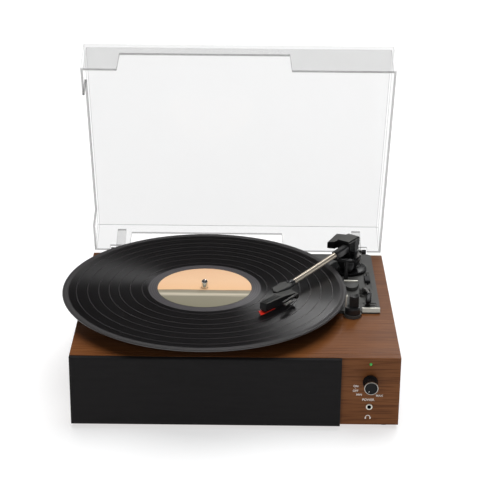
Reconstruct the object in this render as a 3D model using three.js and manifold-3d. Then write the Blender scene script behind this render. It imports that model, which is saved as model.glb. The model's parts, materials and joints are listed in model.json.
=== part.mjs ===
// A belt-drive record player in a wooden cabinet, with a clear hinged dust cover.
// Millimetres, +Z up. The model is laid out from the cabinet's front left bottom corner:
// X runs to the right along the front, Y runs from the front to the back. The last lines
// move the whole player so that the origin is at the bottom centre of its bounding box.
import * as THREE from 'three';
import { ConvexGeometry } from 'three/addons/geometries/ConvexGeometry.js';
import { mergeVertices } from 'three/addons/utils/BufferGeometryUtils.js';
import Module from 'manifold-3d';

const wasm = await Module();
wasm.setup();

// Driving dimensions ---------------------------------------------------------------------

const SEAM = 0.1;                 // hairline between panels that meet face to face
const GAP = 0.3;                  // running clearance

const CABINET_WIDTH = 330;
const CABINET_DEPTH = 262;
const CABINET_HEIGHT = 75;
const WALL = 9;
const FOOT_HEIGHT = 4;
const FOOT_RADIUS = 8;
const FOOT_INSET = 14;

const GRILLE_WIDTH = 271;
const GRILLE_DEPTH = 5.5;
const CLOTH = 1;
const SPEAKER_X = [58, 213];
const SPEAKER_Z = 36.5;
const SPEAKER_RADIUS = 28;
const SPEAKER_OPENING_RADIUS = 23;

const CONTROL_X = 300;            // centre line of the light, the knob and the socket
const LIGHT_Z = 67.8;
const KNOB_Z = 48.9;
const KNOB_RADIUS = 7.5;
const KNOB_LENGTH = 16;
const JACK_Z = 20.3;

const LINE_OUT_X = [238, 256];    // sockets in the rear panel
const INLET_X = 290;
const SOCKET_Z = 30;
const BOTTOM_THICKNESS = 6;
const BOARD_HEIGHT = 12;          // amplifier board on its four posts
const BOARD_POSTS = [[230, 150], [230, 226], [306, 150], [306, 226]];

const SPINDLE_X = 131;
const SPINDLE_Y = 129.5;
const SPINDLE_RADIUS = 3.5;
const DECK_TOP = 3.5;             // heights on the deck are above the cabinet's top face
const DECK_LEFT = 200;
const DECK_RIGHT = 317;
const DECK_FRONT = 103;
const DECK_BACK = 255.8;            // clear of the cover's rear wall as it swings
const DECK_ROUND_RADIUS = 112;    // of the part of the deck plate under the platter
const DECK_LEDGE = 5.5;           // width of the deck plate's rim that lies on the top panel
const PLATTER_RADIUS = 98;
const PLATTER_TOP = 13;
const BELT_RING_RADIUS = 60;
const RECORD_RADIUS = 150.8;
const RECORD_BOTTOM = 15;
const RECORD_TOP = 17;
const LABEL_RADIUS = 50;
const MOTOR_DISTANCE = 76;        // spindle to motor, towards the back left
const MOTOR_OFFSET = MOTOR_DISTANCE * Math.SQRT1_2;
const PULLEY_RADIUS = 6;

const PIVOT_X = 288.5;
const PIVOT_Y = 212;
const ARM_ANGLE = 35;             // degrees between the arm and the cabinet's side
const ARM_AXIS_HEIGHT = 31.6;     // tube axis above the pivot
const ARM_SLOPE = 2.02;           // degrees that the tube runs down towards the head
const ARM_HINGE_HEIGHT = 24.5;
const TUBE_RADIUS = 2.85;
const TUBE_END = 118.7;
const CUE_RADIUS = 25;            // arc of the cue platform about the arm pivot

const LID_WIDTH = 327;
const LID_DEPTH = 257;
const LID_HEIGHT = 43.5;
const LID_WALL = 2.5;
const LID_LEFT = 1.5;
const LID_BOTTOM = 0.5;
const LID_OPEN_ANGLE = 69.6;
const HINGE_Y = 262;
const HINGE_HEIGHT = 4;
const HINGE_X = [30.5, 301.5];

const SPEED_TRAVEL = 6.5;         // of the two sliders on the deck
const AUTOSTOP_TRAVEL = 8;

// Finishes -------------------------------------------------------------------------------

const finishes = {
  wood: { color: 0x7d5138, roughness: 0.5, metalness: 0 },
  board: { color: 0x8a6a4a, roughness: 0.8, metalness: 0 },
  blackPlastic: { color: 0x18181a, roughness: 0.4, metalness: 0 },
  darkPlastic: { color: 0x222225, roughness: 0.6, metalness: 0 },
  vinyl: { color: 0x1b1a1c, roughness: 0.25, metalness: 0 },
  label: { color: 0xe6b98d, roughness: 0.8, metalness: 0 },
  felt: { color: 0x2a2a2c, roughness: 1, metalness: 0 },
  cloth: { color: 0x1f1d1e, roughness: 1, metalness: 0 },
  steel: { color: 0xb9b5aa, roughness: 0.3, metalness: 1 },
  chrome: { color: 0xd8d8d8, roughness: 0.12, metalness: 1 },
  aluminium: { color: 0xc9c4b6, roughness: 0.35, metalness: 1 },
  brass: { color: 0xb08d4a, roughness: 0.35, metalness: 1 },
  rubber: { color: 0x141414, roughness: 0.9, metalness: 0 },
  red: { color: 0xe0261d, roughness: 0.35, metalness: 0 },
  green: { color: 0x6fae3a, roughness: 0.2, metalness: 0 },
  boardGreen: { color: 0x1f5a35, roughness: 0.6, metalness: 0 },
  paper: { color: 0x1c1b1a, roughness: 0.95, metalness: 0 },
  acrylic: { color: 0xe9eeee, roughness: 0.05, metalness: 0, transparent: true, opacity: 0.25 },
};

// Geometry helpers -----------------------------------------------------------------------

const degrees = THREE.MathUtils.degToRad;

/** A closed solid for cutting and joining, from any closed three.js geometry. */
function solid(geometry) {
  const bare = geometry.clone();
  bare.deleteAttribute('normal');
  bare.deleteAttribute('uv');
  const merged = mergeVertices(bare, 1e-4);
  const corners = merged.index.array;
  const place = merged.attributes.position;
  const triangles = [];
  for (let i = 0; i < corners.length; i += 3) {
    const [a, b, c] = [corners[i], corners[i + 1], corners[i + 2]];
    if (a !== b && b !== c && c !== a) triangles.push(a, b, c);
  }
  if (signedVolume(place, triangles) < 0) triangles.reverse();
  return new wasm.Manifold(new wasm.Mesh({
    numProp: 3,
    vertProperties: new Float32Array(place.array),
    triVerts: new Uint32Array(triangles),
  }));
}

function signedVolume(place, triangles) {
  const [a, b, c] = [new THREE.Vector3(), new THREE.Vector3(), new THREE.Vector3()];
  let volume = 0;
  for (let i = 0; i < triangles.length; i += 3) {
    a.fromBufferAttribute(place, triangles[i]);
    b.fromBufferAttribute(place, triangles[i + 1]);
    c.fromBufferAttribute(place, triangles[i + 2]);
    volume += a.dot(b.cross(c)) / 6;
  }
  return volume;
}

/** The three.js geometry of a solid. */
function geometryOf(manifold) {
  const mesh = manifold.getMesh();
  const geometry = new THREE.BufferGeometry();
  const place = new Float32Array((mesh.vertProperties.length / mesh.numProp) * 3);
  for (let i = 0; i < place.length / 3; i += 1) {
    for (let k = 0; k < 3; k += 1) place[3 * i + k] = mesh.vertProperties[mesh.numProp * i + k];
  }
  geometry.setAttribute('position', new THREE.BufferAttribute(place, 3));
  geometry.setIndex(new THREE.BufferAttribute(new Uint32Array(mesh.triVerts), 1));
  geometry.computeVertexNormals();
  return geometry;
}

function join(first, ...others) {
  return others.reduce((whole, piece) => whole.add(solid(piece)), solid(first));
}

function cut(body, ...tools) {
  return tools.reduce((whole, tool) => whole.subtract(solid(tool)), body);
}

/** A block between two corners. */
function block(x0, x1, y0, y1, z0, z1) {
  const geometry = new THREE.BoxGeometry(x1 - x0, y1 - y0, z1 - z0);
  return geometry.translate((x0 + x1) / 2, (y0 + y1) / 2, (z0 + z1) / 2);
}

function extruded(shape, depth, curveSegments) {
  return new THREE.ExtrudeGeometry(shape, { depth, bevelEnabled: false, curveSegments });
}

/** A flat plate: an outline in X and Y between two heights. */
function plate(shape, z0, z1, curveSegments = 12) {
  return extruded(shape, z1 - z0, curveSegments).translate(0, 0, z0);
}

/** A plate that stands upright: an outline in X and Z, from y0 back to y1. */
function upright(shape, y0, y1, curveSegments = 12) {
  return extruded(shape, y1 - y0, curveSegments).rotateX(Math.PI / 2).translate(0, y1, 0);
}

/** A bar along X: an outline in Y and Z, from x0 to x1. */
function barAlongX(shape, x0, x1, curveSegments = 12) {
  const geometry = extruded(shape, x1 - x0, curveSegments);
  return geometry.rotateX(Math.PI / 2).rotateZ(Math.PI / 2).translate(x0, 0, 0);
}

function outline(points) {
  return new THREE.Shape(points.map(([x, y]) => new THREE.Vector2(x, y)));
}

function roundedOutline(x0, x1, y0, y1, radius) {
  const shape = new THREE.Shape();
  shape.moveTo(x0 + radius, y0);
  shape.absarc(x1 - radius, y0 + radius, radius, -Math.PI / 2, 0, false);
  shape.absarc(x1 - radius, y1 - radius, radius, 0, Math.PI / 2, false);
  shape.absarc(x0 + radius, y1 - radius, radius, Math.PI / 2, Math.PI, false);
  shape.absarc(x0 + radius, y0 + radius, radius, Math.PI, 1.5 * Math.PI, false);
  return shape;
}

/** A turned piece about the Y axis; profile points are [radius, y]. */
function turnedAboutY(profile, segments = 24) {
  return new THREE.LatheGeometry(profile.map(([r, y]) => new THREE.Vector2(r, y)), segments);
}

/** A turned piece about the Z axis; profile points are [radius, height]. */
function turned(profile, segments = 24) {
  return turnedAboutY(profile, segments).rotateX(Math.PI / 2);
}

/** A turned ring: the profile is closed back to its first point. */
function ring(profile, segments = 24) {
  return turned([...profile, profile[0]], segments);
}

/** A solid turned piece whose outside profile runs from bottom to top. */
function turnedStud(profile, segments) {
  const [bottom, top] = [profile[0][1], profile[profile.length - 1][1]];
  return turned([[0, bottom], ...profile, [0, top]], segments);
}

function rod(radius, z0, z1, segments = 20) {
  return turned([[0, z0], [radius, z0], [radius, z1], [0, z1]], segments);
}

function rodAlongY(radius, y0, y1, segments = 20) {
  return turnedAboutY([[0, y0], [radius, y0], [radius, y1], [0, y1]], segments);
}

function rodAlongX(radius, x0, x1, segments = 20) {
  return rodAlongY(radius, x0, x1, segments).rotateZ(-Math.PI / 2);
}

function ringAlongY(inner, outer, y0, y1, segments = 28) {
  return turnedAboutY([[inner, y0], [outer, y0], [outer, y1], [inner, y1], [inner, y0]], segments);
}

// Scene graph ----------------------------------------------------------------------------

const player = new THREE.Group();
const deck = new THREE.Group();
deck.position.z = CABINET_HEIGHT;
const turning = new THREE.Group();
turning.position.set(SPINDLE_X, SPINDLE_Y, 0);
const arm = new THREE.Group();
arm.position.set(PIVOT_X, PIVOT_Y, 0);
arm.rotation.z = -degrees(90 + ARM_ANGLE);
const lid = new THREE.Group();
lid.position.set(0, HINGE_Y, HINGE_HEIGHT);
lid.rotation.x = -degrees(LID_OPEN_ANGLE);
player.add(deck);
deck.add(turning, arm, lid);

/** Adds one named piece; the shape is a geometry or a cut solid. */
function piece(parent, name, shape, finish, x = 0, y = 0, z = 0) {
  const geometry = shape.isBufferGeometry ? shape : geometryOf(shape);
  const mesh = new THREE.Mesh(geometry, new THREE.MeshStandardMaterial(finishes[finish]));
  mesh.name = name;
  mesh.position.set(x, y, z);
  parent.add(mesh);
  return mesh;
}

// Cabinet --------------------------------------------------------------------------------

const INSIDE_LEFT = WALL + SEAM;
const INSIDE_RIGHT = CABINET_WIDTH - WALL - SEAM;
const UNDER_TOP = CABINET_HEIGHT - WALL;

function mechanismOpening(z0, z1) {
  const round = rod(DECK_ROUND_RADIUS - DECK_LEDGE, z0, z1, 48).translate(SPINDLE_X, SPINDLE_Y, 0);
  const [x0, x1] = [DECK_LEFT + DECK_LEDGE, DECK_RIGHT - DECK_LEDGE];
  const [y0, y1] = [DECK_FRONT + DECK_LEDGE, DECK_BACK - DECK_LEDGE];
  return join(round, plate(roundedOutline(x0, x1, y0, y1, 6), z0, z1, 2));
}

function cabinetPanels() {
  const top = solid(block(0, CABINET_WIDTH, WALL + SEAM, CABINET_DEPTH, UNDER_TOP, CABINET_HEIGHT));
  piece(player, 'top_panel', top.subtract(mechanismOpening(UNDER_TOP - 1, CABINET_HEIGHT + 1)), 'wood');

  const front = solid(block(0, CABINET_WIDTH, 0, WALL, 0, CABINET_HEIGHT));
  const frontHole = (radius, x, z, segments) => (
    rodAlongY(radius, -1, WALL + 1, segments).translate(x, 0, z));
  const frontHoles = [
    ...SPEAKER_X.map((x) => frontHole(SPEAKER_OPENING_RADIUS, x, SPEAKER_Z, 32)),
    frontHole(1.7, CONTROL_X, LIGHT_Z, 12),
    frontHole(4.8, CONTROL_X, KNOB_Z, 20),
    frontHole(3.2, CONTROL_X, JACK_Z, 16),
  ];
  piece(player, 'front_baffle', cut(front, ...frontHoles), 'wood');

  const behindFront = WALL + SEAM;
  const sideTop = UNDER_TOP - SEAM;
  piece(player, 'side_panel_left', block(0, WALL, behindFront, CABINET_DEPTH, 0, sideTop), 'wood');
  piece(player, 'side_panel_right',
    block(CABINET_WIDTH - WALL, CABINET_WIDTH, behindFront, CABINET_DEPTH, 0, sideTop), 'wood');

  const rearInside = CABINET_DEPTH - WALL;
  const rear = solid(block(INSIDE_LEFT, INSIDE_RIGHT, rearInside, CABINET_DEPTH, 0, sideTop));
  const rearHole = (x) => (
    rodAlongY(4.6, rearInside - 1, CABINET_DEPTH + 1, 16).translate(x, 0, SOCKET_Z));
  piece(player, 'rear_panel', cut(rear, ...[...LINE_OUT_X, INLET_X].map(rearHole)), 'board');

  const base = block(INSIDE_LEFT, INSIDE_RIGHT, behindFront, rearInside - SEAM, 0, BOTTOM_THICKNESS);
  const post = ([x, y]) => rod(3, BOTTOM_THICKNESS - 1, BOARD_HEIGHT - GAP, 12).translate(x, y, 0);
  piece(player, 'bottom_panel', join(base, ...BOARD_POSTS.map(post)), 'board');
}

function feet() {
  const profile = [
    [0, -FOOT_HEIGHT], [FOOT_RADIUS - 0.8, -FOOT_HEIGHT], [FOOT_RADIUS, -FOOT_HEIGHT + 0.8],
    [FOOT_RADIUS - 0.6, -SEAM], [0, -SEAM],
  ];
  const sides = [['left', FOOT_INSET], ['right', CABINET_WIDTH - FOOT_INSET]];
  const ends = [['front', FOOT_INSET], ['rear', CABINET_DEPTH - FOOT_INSET]];
  for (const [end, y] of ends) {
    for (const [side, x] of sides) {
      piece(player, `foot_${end}_${side}`, turned(profile, 28), 'rubber', x, y, 0);
    }
  }
}

function grille() {
  const height = CABINET_HEIGHT - 0.5;
  const tray = solid(block(0, GRILLE_WIDTH, -GRILLE_DEPTH, -SEAM, 0, height));
  const hollow = block(CLOTH, GRILLE_WIDTH - CLOTH, CLOTH - GRILLE_DEPTH, 1, CLOTH, height - CLOTH);
  piece(player, 'grille_cloth', cut(tray, hollow), 'cloth');

  const inner = CLOTH + SEAM;
  const frame = block(inner, GRILLE_WIDTH - inner, inner - GRILLE_DEPTH, -SEAM, inner, height - inner);
  const openings = SPEAKER_X.map((x) => (
    upright(roundedOutline(x - 42, x + 42, 10, 64, 20), -GRILLE_DEPTH, 1, 6)));
  piece(player, 'grille_frame', cut(solid(frame), ...openings), 'darkPlastic');
}

function loudspeakers() {
  const back = WALL + 2 * SEAM;
  const basket = [
    [0, back + 17], [8, back + 17], [10, back + 13], [22.5, back + 2], [22.5, back],
    [SPEAKER_RADIUS, back], [SPEAKER_RADIUS, back + 2], [25, back + 2.6], [13, back + 14],
    [16, back + 14], [16, back + 24], [0, back + 24],
  ];
  const cone = [
    [0, back + 9], [3, back + 8.4], [7.4, back + 10.9], [21.8, back + 0.2], [21.8, back + 0.9],
    [8, back + 12], [0, back + 12],
  ];
  SPEAKER_X.forEach((x, i) => {
    const side = ['left', 'right'][i];
    piece(player, `speaker_${side}`, turnedAboutY(basket, 24), 'steel', x, 0, SPEAKER_Z);
    piece(player, `speaker_cone_${side}`, turnedAboutY(cone, 24), 'paper', x, 0, SPEAKER_Z);
  });
}

/** Adds a piece whose own axis is on the centre line of the front controls. */
function control(name, shape, finish, z) {
  return piece(player, name, shape, finish, CONTROL_X, 0, z);
}

function frontControls() {
  const light = [[0, -0.9], [0.9, -0.6], [1.3, 0], [1.3, WALL - 1], [0, WALL - 1]];
  control('power_light', turnedAboutY(light, 14), 'green', LIGHT_Z);

  const behind = WALL + GAP;
  const socket = [
    [1.75, -1], [3.3, -1], [3.3, -SEAM], [2.9, -SEAM], [2.9, behind], [4.5, behind],
    [4.5, WALL + 11], [0, WALL + 11], [0, WALL + 9], [1.75, WALL + 9], [1.75, -1],
  ];
  control('headphone_jack', turnedAboutY(socket, 20), 'chrome', JACK_Z);

  const bushing = join(block(-9, 9, behind, WALL + 10, -9, 9), rodAlongY(4.4, 1, WALL + 1, 20));
  control('potentiometer', cut(bushing, rodAlongY(3.3, 0, WALL + 7, 16)), 'steel', KNOB_Z);
  volumeKnob();
}

function volumeKnob() {
  const front = -KNOB_LENGTH;
  const shaftRadius = 3;
  const bore = shaftRadius + GAP;
  const knob = turnedAboutY([
    [0, front], [6, front], [6.6, front + 0.7], [6.9, -4.4], [KNOB_RADIUS, -4],
    [KNOB_RADIUS, -0.6], [bore, -0.6], [bore, front + 3], [0, front + 3],
  ], 28);
  const pointer = block(-0.4, 0.4, front - 1, front + 0.4, 1.5, 8).rotateY(-degrees(150));
  const seat = ringAlongY(5.6, 8, front - 1, front + 2.2);
  control('volume_knob', cut(solid(knob), pointer, seat), 'blackPlastic', KNOB_Z);
  control('knob_ring', ringAlongY(5.6 + SEAM, 7.1, front + 0.3, front + 2.1), 'chrome', KNOB_Z);
  control('knob_shaft', rodAlongY(shaftRadius, front + 3.5, WALL + 6.5, 16), 'steel', KNOB_Z);
}

function electronics() {
  const margin = 5;
  const [[left, front], , , [right, rear]] = BOARD_POSTS;
  const top = BOARD_HEIGHT + 1.6;
  const board = block(left - margin, right + margin, front - margin, rear + margin, BOARD_HEIGHT, top);
  const capacitors = [[245, 170], [245, 190], [262, 212]].map(([x, y]) => (
    rod(5, top - 0.5, top + 12, 14).translate(x, y, 0)));
  const heatSink = block(272, 298, 182, 188, top - 0.5, top + 16);
  const chip = block(270, 284, 200, 214, top - 0.5, top + 3);
  piece(player, 'amplifier_board', join(board, ...capacitors, heatSink, chip), 'boardGreen');
  rearSockets();
}

function rearSockets() {
  const inner = CABINET_DEPTH - WALL - SEAM;
  const outer = CABINET_DEPTH + 8;
  const [x0, x1] = [LINE_OUT_X[0] - 8, LINE_OUT_X[1] + 8];
  const housing = block(x0, x1, inner - 12, inner, SOCKET_Z - 8, SOCKET_Z + 8);
  const barrel = (x) => rodAlongY(4.15, inner - 1, outer, 20).translate(x, 0, SOCKET_Z);
  const bore = (x) => rodAlongY(1.7, inner - 8, outer + 1, 12).translate(x, 0, SOCKET_Z);
  const jacks = cut(join(housing, ...LINE_OUT_X.map(barrel)), ...LINE_OUT_X.map(bore));
  piece(player, 'line_out_jacks', jacks, 'brass');

  const box = block(-6, 6, inner - 11, inner, -6, 6);
  const inlet = join(box, rodAlongY(4.2, inner - 1, CABINET_DEPTH + 0.5, 20));
  const opening = ringAlongY(1, 2.8, inner - 8, outer, 16);
  piece(player, 'power_inlet', cut(inlet, opening), 'darkPlastic', INLET_X, 0, SOCKET_Z);
}

// Deck -----------------------------------------------------------------------------------

const REST = { x: 287.2, y: 97.8, radius: 8.1 };          // arm rest post
const LEVER_AXLE = { y: 148, z: 6.8 };                    // cue lever's hinge
const CUE_POST_ANGLE = 8;                                 // degrees from the cabinet's side
const PAD = { left: 280.6, right: 298, front: 152.5, back: 171 };
const SPEED_SLIDER = { x: 303.7, y: 117.8 };              // its stem, at the left end of its slot
const AUTOSTOP_SLIDER = { x: 308.2, y: 182 };             // its stem, at the front end of its slot
const SCREWS = [[300.3, 140.2], [246, 250]];

/** The centre of the cue platform's post on the deck. */
function cuePost() {
  const angle = degrees(CUE_POST_ANGLE);
  return [PIVOT_X - CUE_RADIUS * Math.sin(angle), PIVOT_Y - CUE_RADIUS * Math.cos(angle)];
}

/** A lug that carries one end of the cue lever's axle. */
function leverLug(x0, x1) {
  const { y } = LEVER_AXLE;
  return upright(roundedOutline(y - 3, y + 3, SEAM + 1, 9.8, 2.4), x0, x1, 4)
    .rotateZ(Math.PI / 2)
    .translate(x0 + x1, 0, 0);
}

/** The half-round pad in front of the tonearm's base. */
function armPad() {
  const { left, right, front, back } = PAD;
  const middle = (left + right) / 2;
  const shape = new THREE.Shape();
  shape.moveTo(left, back);
  shape.bezierCurveTo(left + 0.4, front + 5.5, middle - 4.8, front, middle, front);
  shape.bezierCurveTo(middle + 4.8, front, right - 0.4, front + 5.5, right, back);
  return plate(shape, SEAM + 1, 7.6, 6);
}

function deckPlate() {
  const floor = SEAM;
  const corner = plate(roundedOutline(DECK_LEFT, DECK_RIGHT, DECK_FRONT, DECK_BACK, 5), floor, DECK_TOP, 3);
  const round = rod(DECK_ROUND_RADIUS, floor, DECK_TOP, 48).translate(SPINDLE_X, SPINDLE_Y, 0);
  const tab = rod(REST.radius + 1.2, floor, DECK_TOP, 28).translate(REST.x, REST.y, 0);
  const bearing = rod(9, -14, floor + 1, 24).translate(SPINDLE_X, SPINDLE_Y, 0);
  const lugs = [leverLug(297.4, 299.8), leverLug(306.2, 308.6)];
  const body = join(corner, round, tab, bearing, ...lugs, armPad());

  const holes = [
    rod(SPINDLE_RADIUS, -10, 5, 32).translate(SPINDLE_X, SPINDLE_Y, 0),
    rod(3.9, -1, 5, 24).translate(PIVOT_X, PIVOT_Y, 0),
    rod(2.5, -1, 5, 16).translate(...cuePost(), 0),
    rod(2, -1, 5, 16).translate(SPINDLE_X - MOTOR_OFFSET, SPINDLE_Y + MOTOR_OFFSET, 0),
    rodAlongX(1.8, 297, 309, 12).translate(0, LEVER_AXLE.y, LEVER_AXLE.z),
    ...speedRecess(),
    ...autostopRecess(),
    block(297.3, DECK_RIGHT + 1, DECK_FRONT - 1, DECK_FRONT + 5.4, 1.2, 5),
    block(PAD.left + 0.8, PAD.right - 0.8, PAD.back - 3.4, PAD.back + 1, 6.6, 8),
    ...SCREWS.map(([x, y]) => rod(1.6, 1.5, 5, 12).translate(x, y, 0)),
  ];
  piece(deck, 'deck_plate', cut(body, ...holes), 'blackPlastic');
}

/** The recess round the speed slider and the slot that its stem runs in. */
function speedRecess() {
  const { x, y } = SPEED_SLIDER;
  return [
    block(299.5, 313.5, 112, 123.5, DECK_TOP - 0.6, 5),
    block(x - 1.5, x + 2 + SPEED_TRAVEL, y - 0.9, y + 0.9, -1, 5),
  ];
}

/** The recess round the autostop slider and the slot that its stem runs in. */
function autostopRecess() {
  const { x, y } = AUTOSTOP_SLIDER;
  return [
    block(304.6, 311.4, 160, 204, DECK_TOP - 0.5, 5),
    block(x - 0.9, x + 0.9, y - 10, y + 10 + AUTOSTOP_TRAVEL, -1, 5),
  ];
}

function deckTrim() {
  const y = DECK_FRONT;
  const bar = outline([[y + 0.3, 1.5], [y + 5.1, 1.5], [y + 5.1, 5.2], [y + 2.8, 5.2]]);
  piece(deck, 'front_bar', barAlongX(bar, 297.6, DECK_RIGHT - 0.4), 'aluminium');
  const padBar = block(PAD.left + 1.1, PAD.right - 1.1, PAD.back - 3.1, PAD.back - 0.3, 6.9, 9);
  piece(deck, 'pad_bar', padBar, 'aluminium');
  const head = [
    [0, 1.9], [1.3, 1.9], [1.3, DECK_TOP + SEAM], [3, DECK_TOP + SEAM], [2.7, DECK_TOP + 1.3],
    [1.6, DECK_TOP + 1.7], [0, DECK_TOP + 1.8],
  ];
  const slot = block(-4, 4, -0.35, 0.35, DECK_TOP + 1, DECK_TOP + 3);
  SCREWS.forEach(([x, screwY], i) => {
    piece(deck, `deck_screw_${i + 1}`, cut(solid(turned(head, 18)), slot), 'steel', x, screwY, 0);
  });
}

function sliders() {
  const speed = join(
    block(301.4, 306.2, 115.6, 120, DECK_TOP - 0.3, DECK_TOP + 1.6),
    block(302.8, 304.6, 117.2, 118.4, -3, DECK_TOP),
  );
  const grips = [302.6, 303.8, 305].map((x) => (
    block(x - 0.3, x + 0.3, 115, 121, DECK_TOP + 1.1, DECK_TOP + 2)));
  piece(deck, 'speed_slider', cut(speed, ...grips), 'blackPlastic');

  const [bottom, top] = [DECK_TOP - 0.2, DECK_TOP + 2.8];
  const teeth = [177, 180.5, 184, 187.5].map((y) => block(304.9, 306.2, y - 1, y + 1, bottom, top));
  const button = block(305.8, 311, 175.5, 189, bottom, top);
  const stem = block(307.7, 308.7, 178, 186, -3, DECK_TOP);
  piece(deck, 'autostop_slider', join(button, stem, ...teeth), 'blackPlastic');
}

function armRest() {
  const { x, y, radius } = REST;
  const foot = [[radius, DECK_TOP + SEAM], [radius, 10.2], [radius - 0.6, 10.8]];
  const base = turnedStud(foot, 28).translate(x, y, 0);
  const column = block(x - 3.6, x + 6, y - 3, y + 5.2, 10, 23.2);
  const prong = block(x - 8, x - 6.2, y - 1.8, y + 3.4, 10, 23);
  const ribs = [12.5, 14.5, 16.5, 18.5, 20.5].map((z) => (
    block(x - 5, x + 7, y - 3.5, y - 2.6, z - 0.45, z + 0.45)));
  const saddle = rodAlongY(4.6, y - 5, y + 7, 24).translate(x + 1.2, 0, 26.9);
  piece(deck, 'arm_rest', cut(join(base, column, prong), ...ribs, saddle), 'blackPlastic');
}

function cueParts() {
  const { y, z } = LEVER_AXLE;
  const bentBar = outline([
    [301.3, y + 1], [304.5, y + 1], [308.9, 133.2], [308.3, 126], [306.8, 111.4],
    [302.6, 111.4], [304, 126], [305.5, 132.8],
  ]);
  const hub = rodAlongX(3, 300.3, 305.7, 20).translate(0, y, z);
  const axle = rodAlongX(1.5, 297.8, 308.2, 12).translate(0, y, z);
  piece(deck, 'cue_lever', join(plate(bentBar, 8, 10.6), hub, axle), 'steel');

  const arc = new THREE.Shape();
  const [from, to] = [degrees(-146), degrees(-84)];
  arc.absarc(0, 0, CUE_RADIUS + 2, from, to, false);
  arc.absarc(0, 0, CUE_RADIUS - 2, to, from, true);
  const shelf = plate(arc, 23.4, 26, 18).translate(PIVOT_X, PIVOT_Y, 0);
  const post = rod(2.1, -12, 24, 16).translate(...cuePost(), 0);
  piece(deck, 'cue_platform', join(shelf, post), 'blackPlastic');
}

// Turntable ------------------------------------------------------------------------------

function turntable() {
  const under = 9;
  const web = PLATTER_TOP - 3;
  const bore = SPINDLE_RADIUS + GAP;
  piece(turning, 'platter', ring([
    [7.3, under], [13, under], [14, web], [BELT_RING_RADIUS - 4, web],
    [BELT_RING_RADIUS - 4, 5], [BELT_RING_RADIUS, 5], [BELT_RING_RADIUS, web],
    [PLATTER_RADIUS - 4, web], [PLATTER_RADIUS - 4, 5], [PLATTER_RADIUS, 5],
    [PLATTER_RADIUS, PLATTER_TOP - 0.8], [PLATTER_RADIUS - 0.8, PLATTER_TOP],
    [14, PLATTER_TOP], [12, PLATTER_TOP - 2], [7.3, PLATTER_TOP - 2],
  ], 40), 'aluminium');
  piece(turning, 'platter_bush', ring([
    [bore, 4], [6.2, 4], [6.2, 8.6], [8.6, 8.6], [8.6, 8.9], [7, 8.9],
    [7, PLATTER_TOP - 2.2], [bore, PLATTER_TOP - 2.2],
  ], 24), 'brass');
  const matRadius = PLATTER_RADIUS - 2;
  const [matBottom, matTop] = [PLATTER_TOP + SEAM, RECORD_BOTTOM - SEAM];
  piece(turning, 'slip_mat', ring([
    [14.4, matBottom], [matRadius, matBottom], [matRadius, matTop], [14.4, matTop],
  ], 40), 'felt');
  recordAndLabel();
  spindleAndClip();
}

function recordAndLabel() {
  const hole = SPINDLE_RADIUS + 0.25;
  const [bottom, top] = [RECORD_BOTTOM, RECORD_TOP];
  const sunk = 0.35;                                      // depth of the grooved band
  const [bandInner, bandOuter] = [LABEL_RADIUS + 12, RECORD_RADIUS - 4];
  const bead = RECORD_RADIUS - 2.4;
  piece(turning, 'record', ring([
    [hole, bottom], [LABEL_RADIUS + 8, bottom], [bandInner, bottom + sunk], [bandOuter, bottom + sunk],
    [bead, bottom], [RECORD_RADIUS, bottom + 0.6], [RECORD_RADIUS, top - 0.6], [bead, top],
    [bandOuter, top - sunk], [bandInner, top - sunk], [LABEL_RADIUS + 0.6, top - 0.1],
    [LABEL_RADIUS + 0.3, top - 0.3], [hole, top - 0.3],
  ], 48), 'vinyl');
  piece(turning, 'record_label', ring([
    [hole, top - 0.2], [LABEL_RADIUS, top - 0.2], [LABEL_RADIUS, top], [hole, top],
  ], 40), 'label');
}

function spindleAndClip() {
  const r = SPINDLE_RADIUS;
  piece(turning, 'spindle', turned([
    [0, -9.8], [r - 0.15, -9.8], [r - 0.15, 2], [r, 3.8], [r, 11.2], [2.8, 11.4], [2.8, 12.2],
    [r, 12.4], [r, 23], [3.1, 24.6], [1.9, 25.8], [0, 26.2],
  ], 20), 'chrome');
  const clip = new THREE.Shape();
  clip.absarc(0, 0, 6, degrees(35), degrees(325), false);
  clip.absarc(0, 0, 3.1, degrees(325), degrees(35), true);
  piece(turning, 'platter_clip', plate(clip, 11.5, 12.1, 16), 'steel');
}

function drive() {
  const [mx, my] = [-MOTOR_OFFSET, MOTOR_OFFSET];
  const can = [[0, -24], [14.5, -24], [16, -22.5], [16, -1.5], [15, -SEAM], [0, -SEAM]];
  piece(turning, 'motor', cut(solid(turned(can, 32)), rod(1.4, -6, 1, 12)), 'steel', mx, my, 0);

  const p = PULLEY_RADIUS;
  const wheel = turned([
    [0, 4.2], [p + 1, 4.2], [p + 1, 4.8], [p, 5.2], [p, 9], [p + 0.8, 9.4], [p + 0.8, 9.6], [0, 9.6],
  ], 28);
  piece(turning, 'motor_pulley', join(wheel, rod(1.1, -5.5, 5, 12)), 'brass', mx, my, 0);

  const outside = solid(plate(beltLoop(1), 5.5, 8.8, 14));
  piece(turning, 'drive_belt', cut(outside, plate(beltLoop(0), 5, 9.4, 14)), 'rubber');
}

/** The outline of a belt round the platter's ring and the pulley, grown by an offset. */
function beltLoop(offset) {
  const big = BELT_RING_RADIUS + GAP + offset;
  const small = PULLEY_RADIUS + GAP + offset;
  const towards = degrees(135);
  const wrap = Math.acos((big - small) / MOTOR_DISTANCE);
  const loop = new THREE.Shape();
  loop.absarc(0, 0, big, towards + wrap, towards - wrap + 2 * Math.PI, false);
  loop.absarc(MOTOR_DISTANCE * Math.cos(towards), MOTOR_DISTANCE * Math.sin(towards), small,
    towards - wrap, towards + wrap, false);
  return loop;
}

// Tonearm --------------------------------------------------------------------------------
// In the arm group X runs from the pivot along the tube and Y runs to the right of it.

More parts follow.
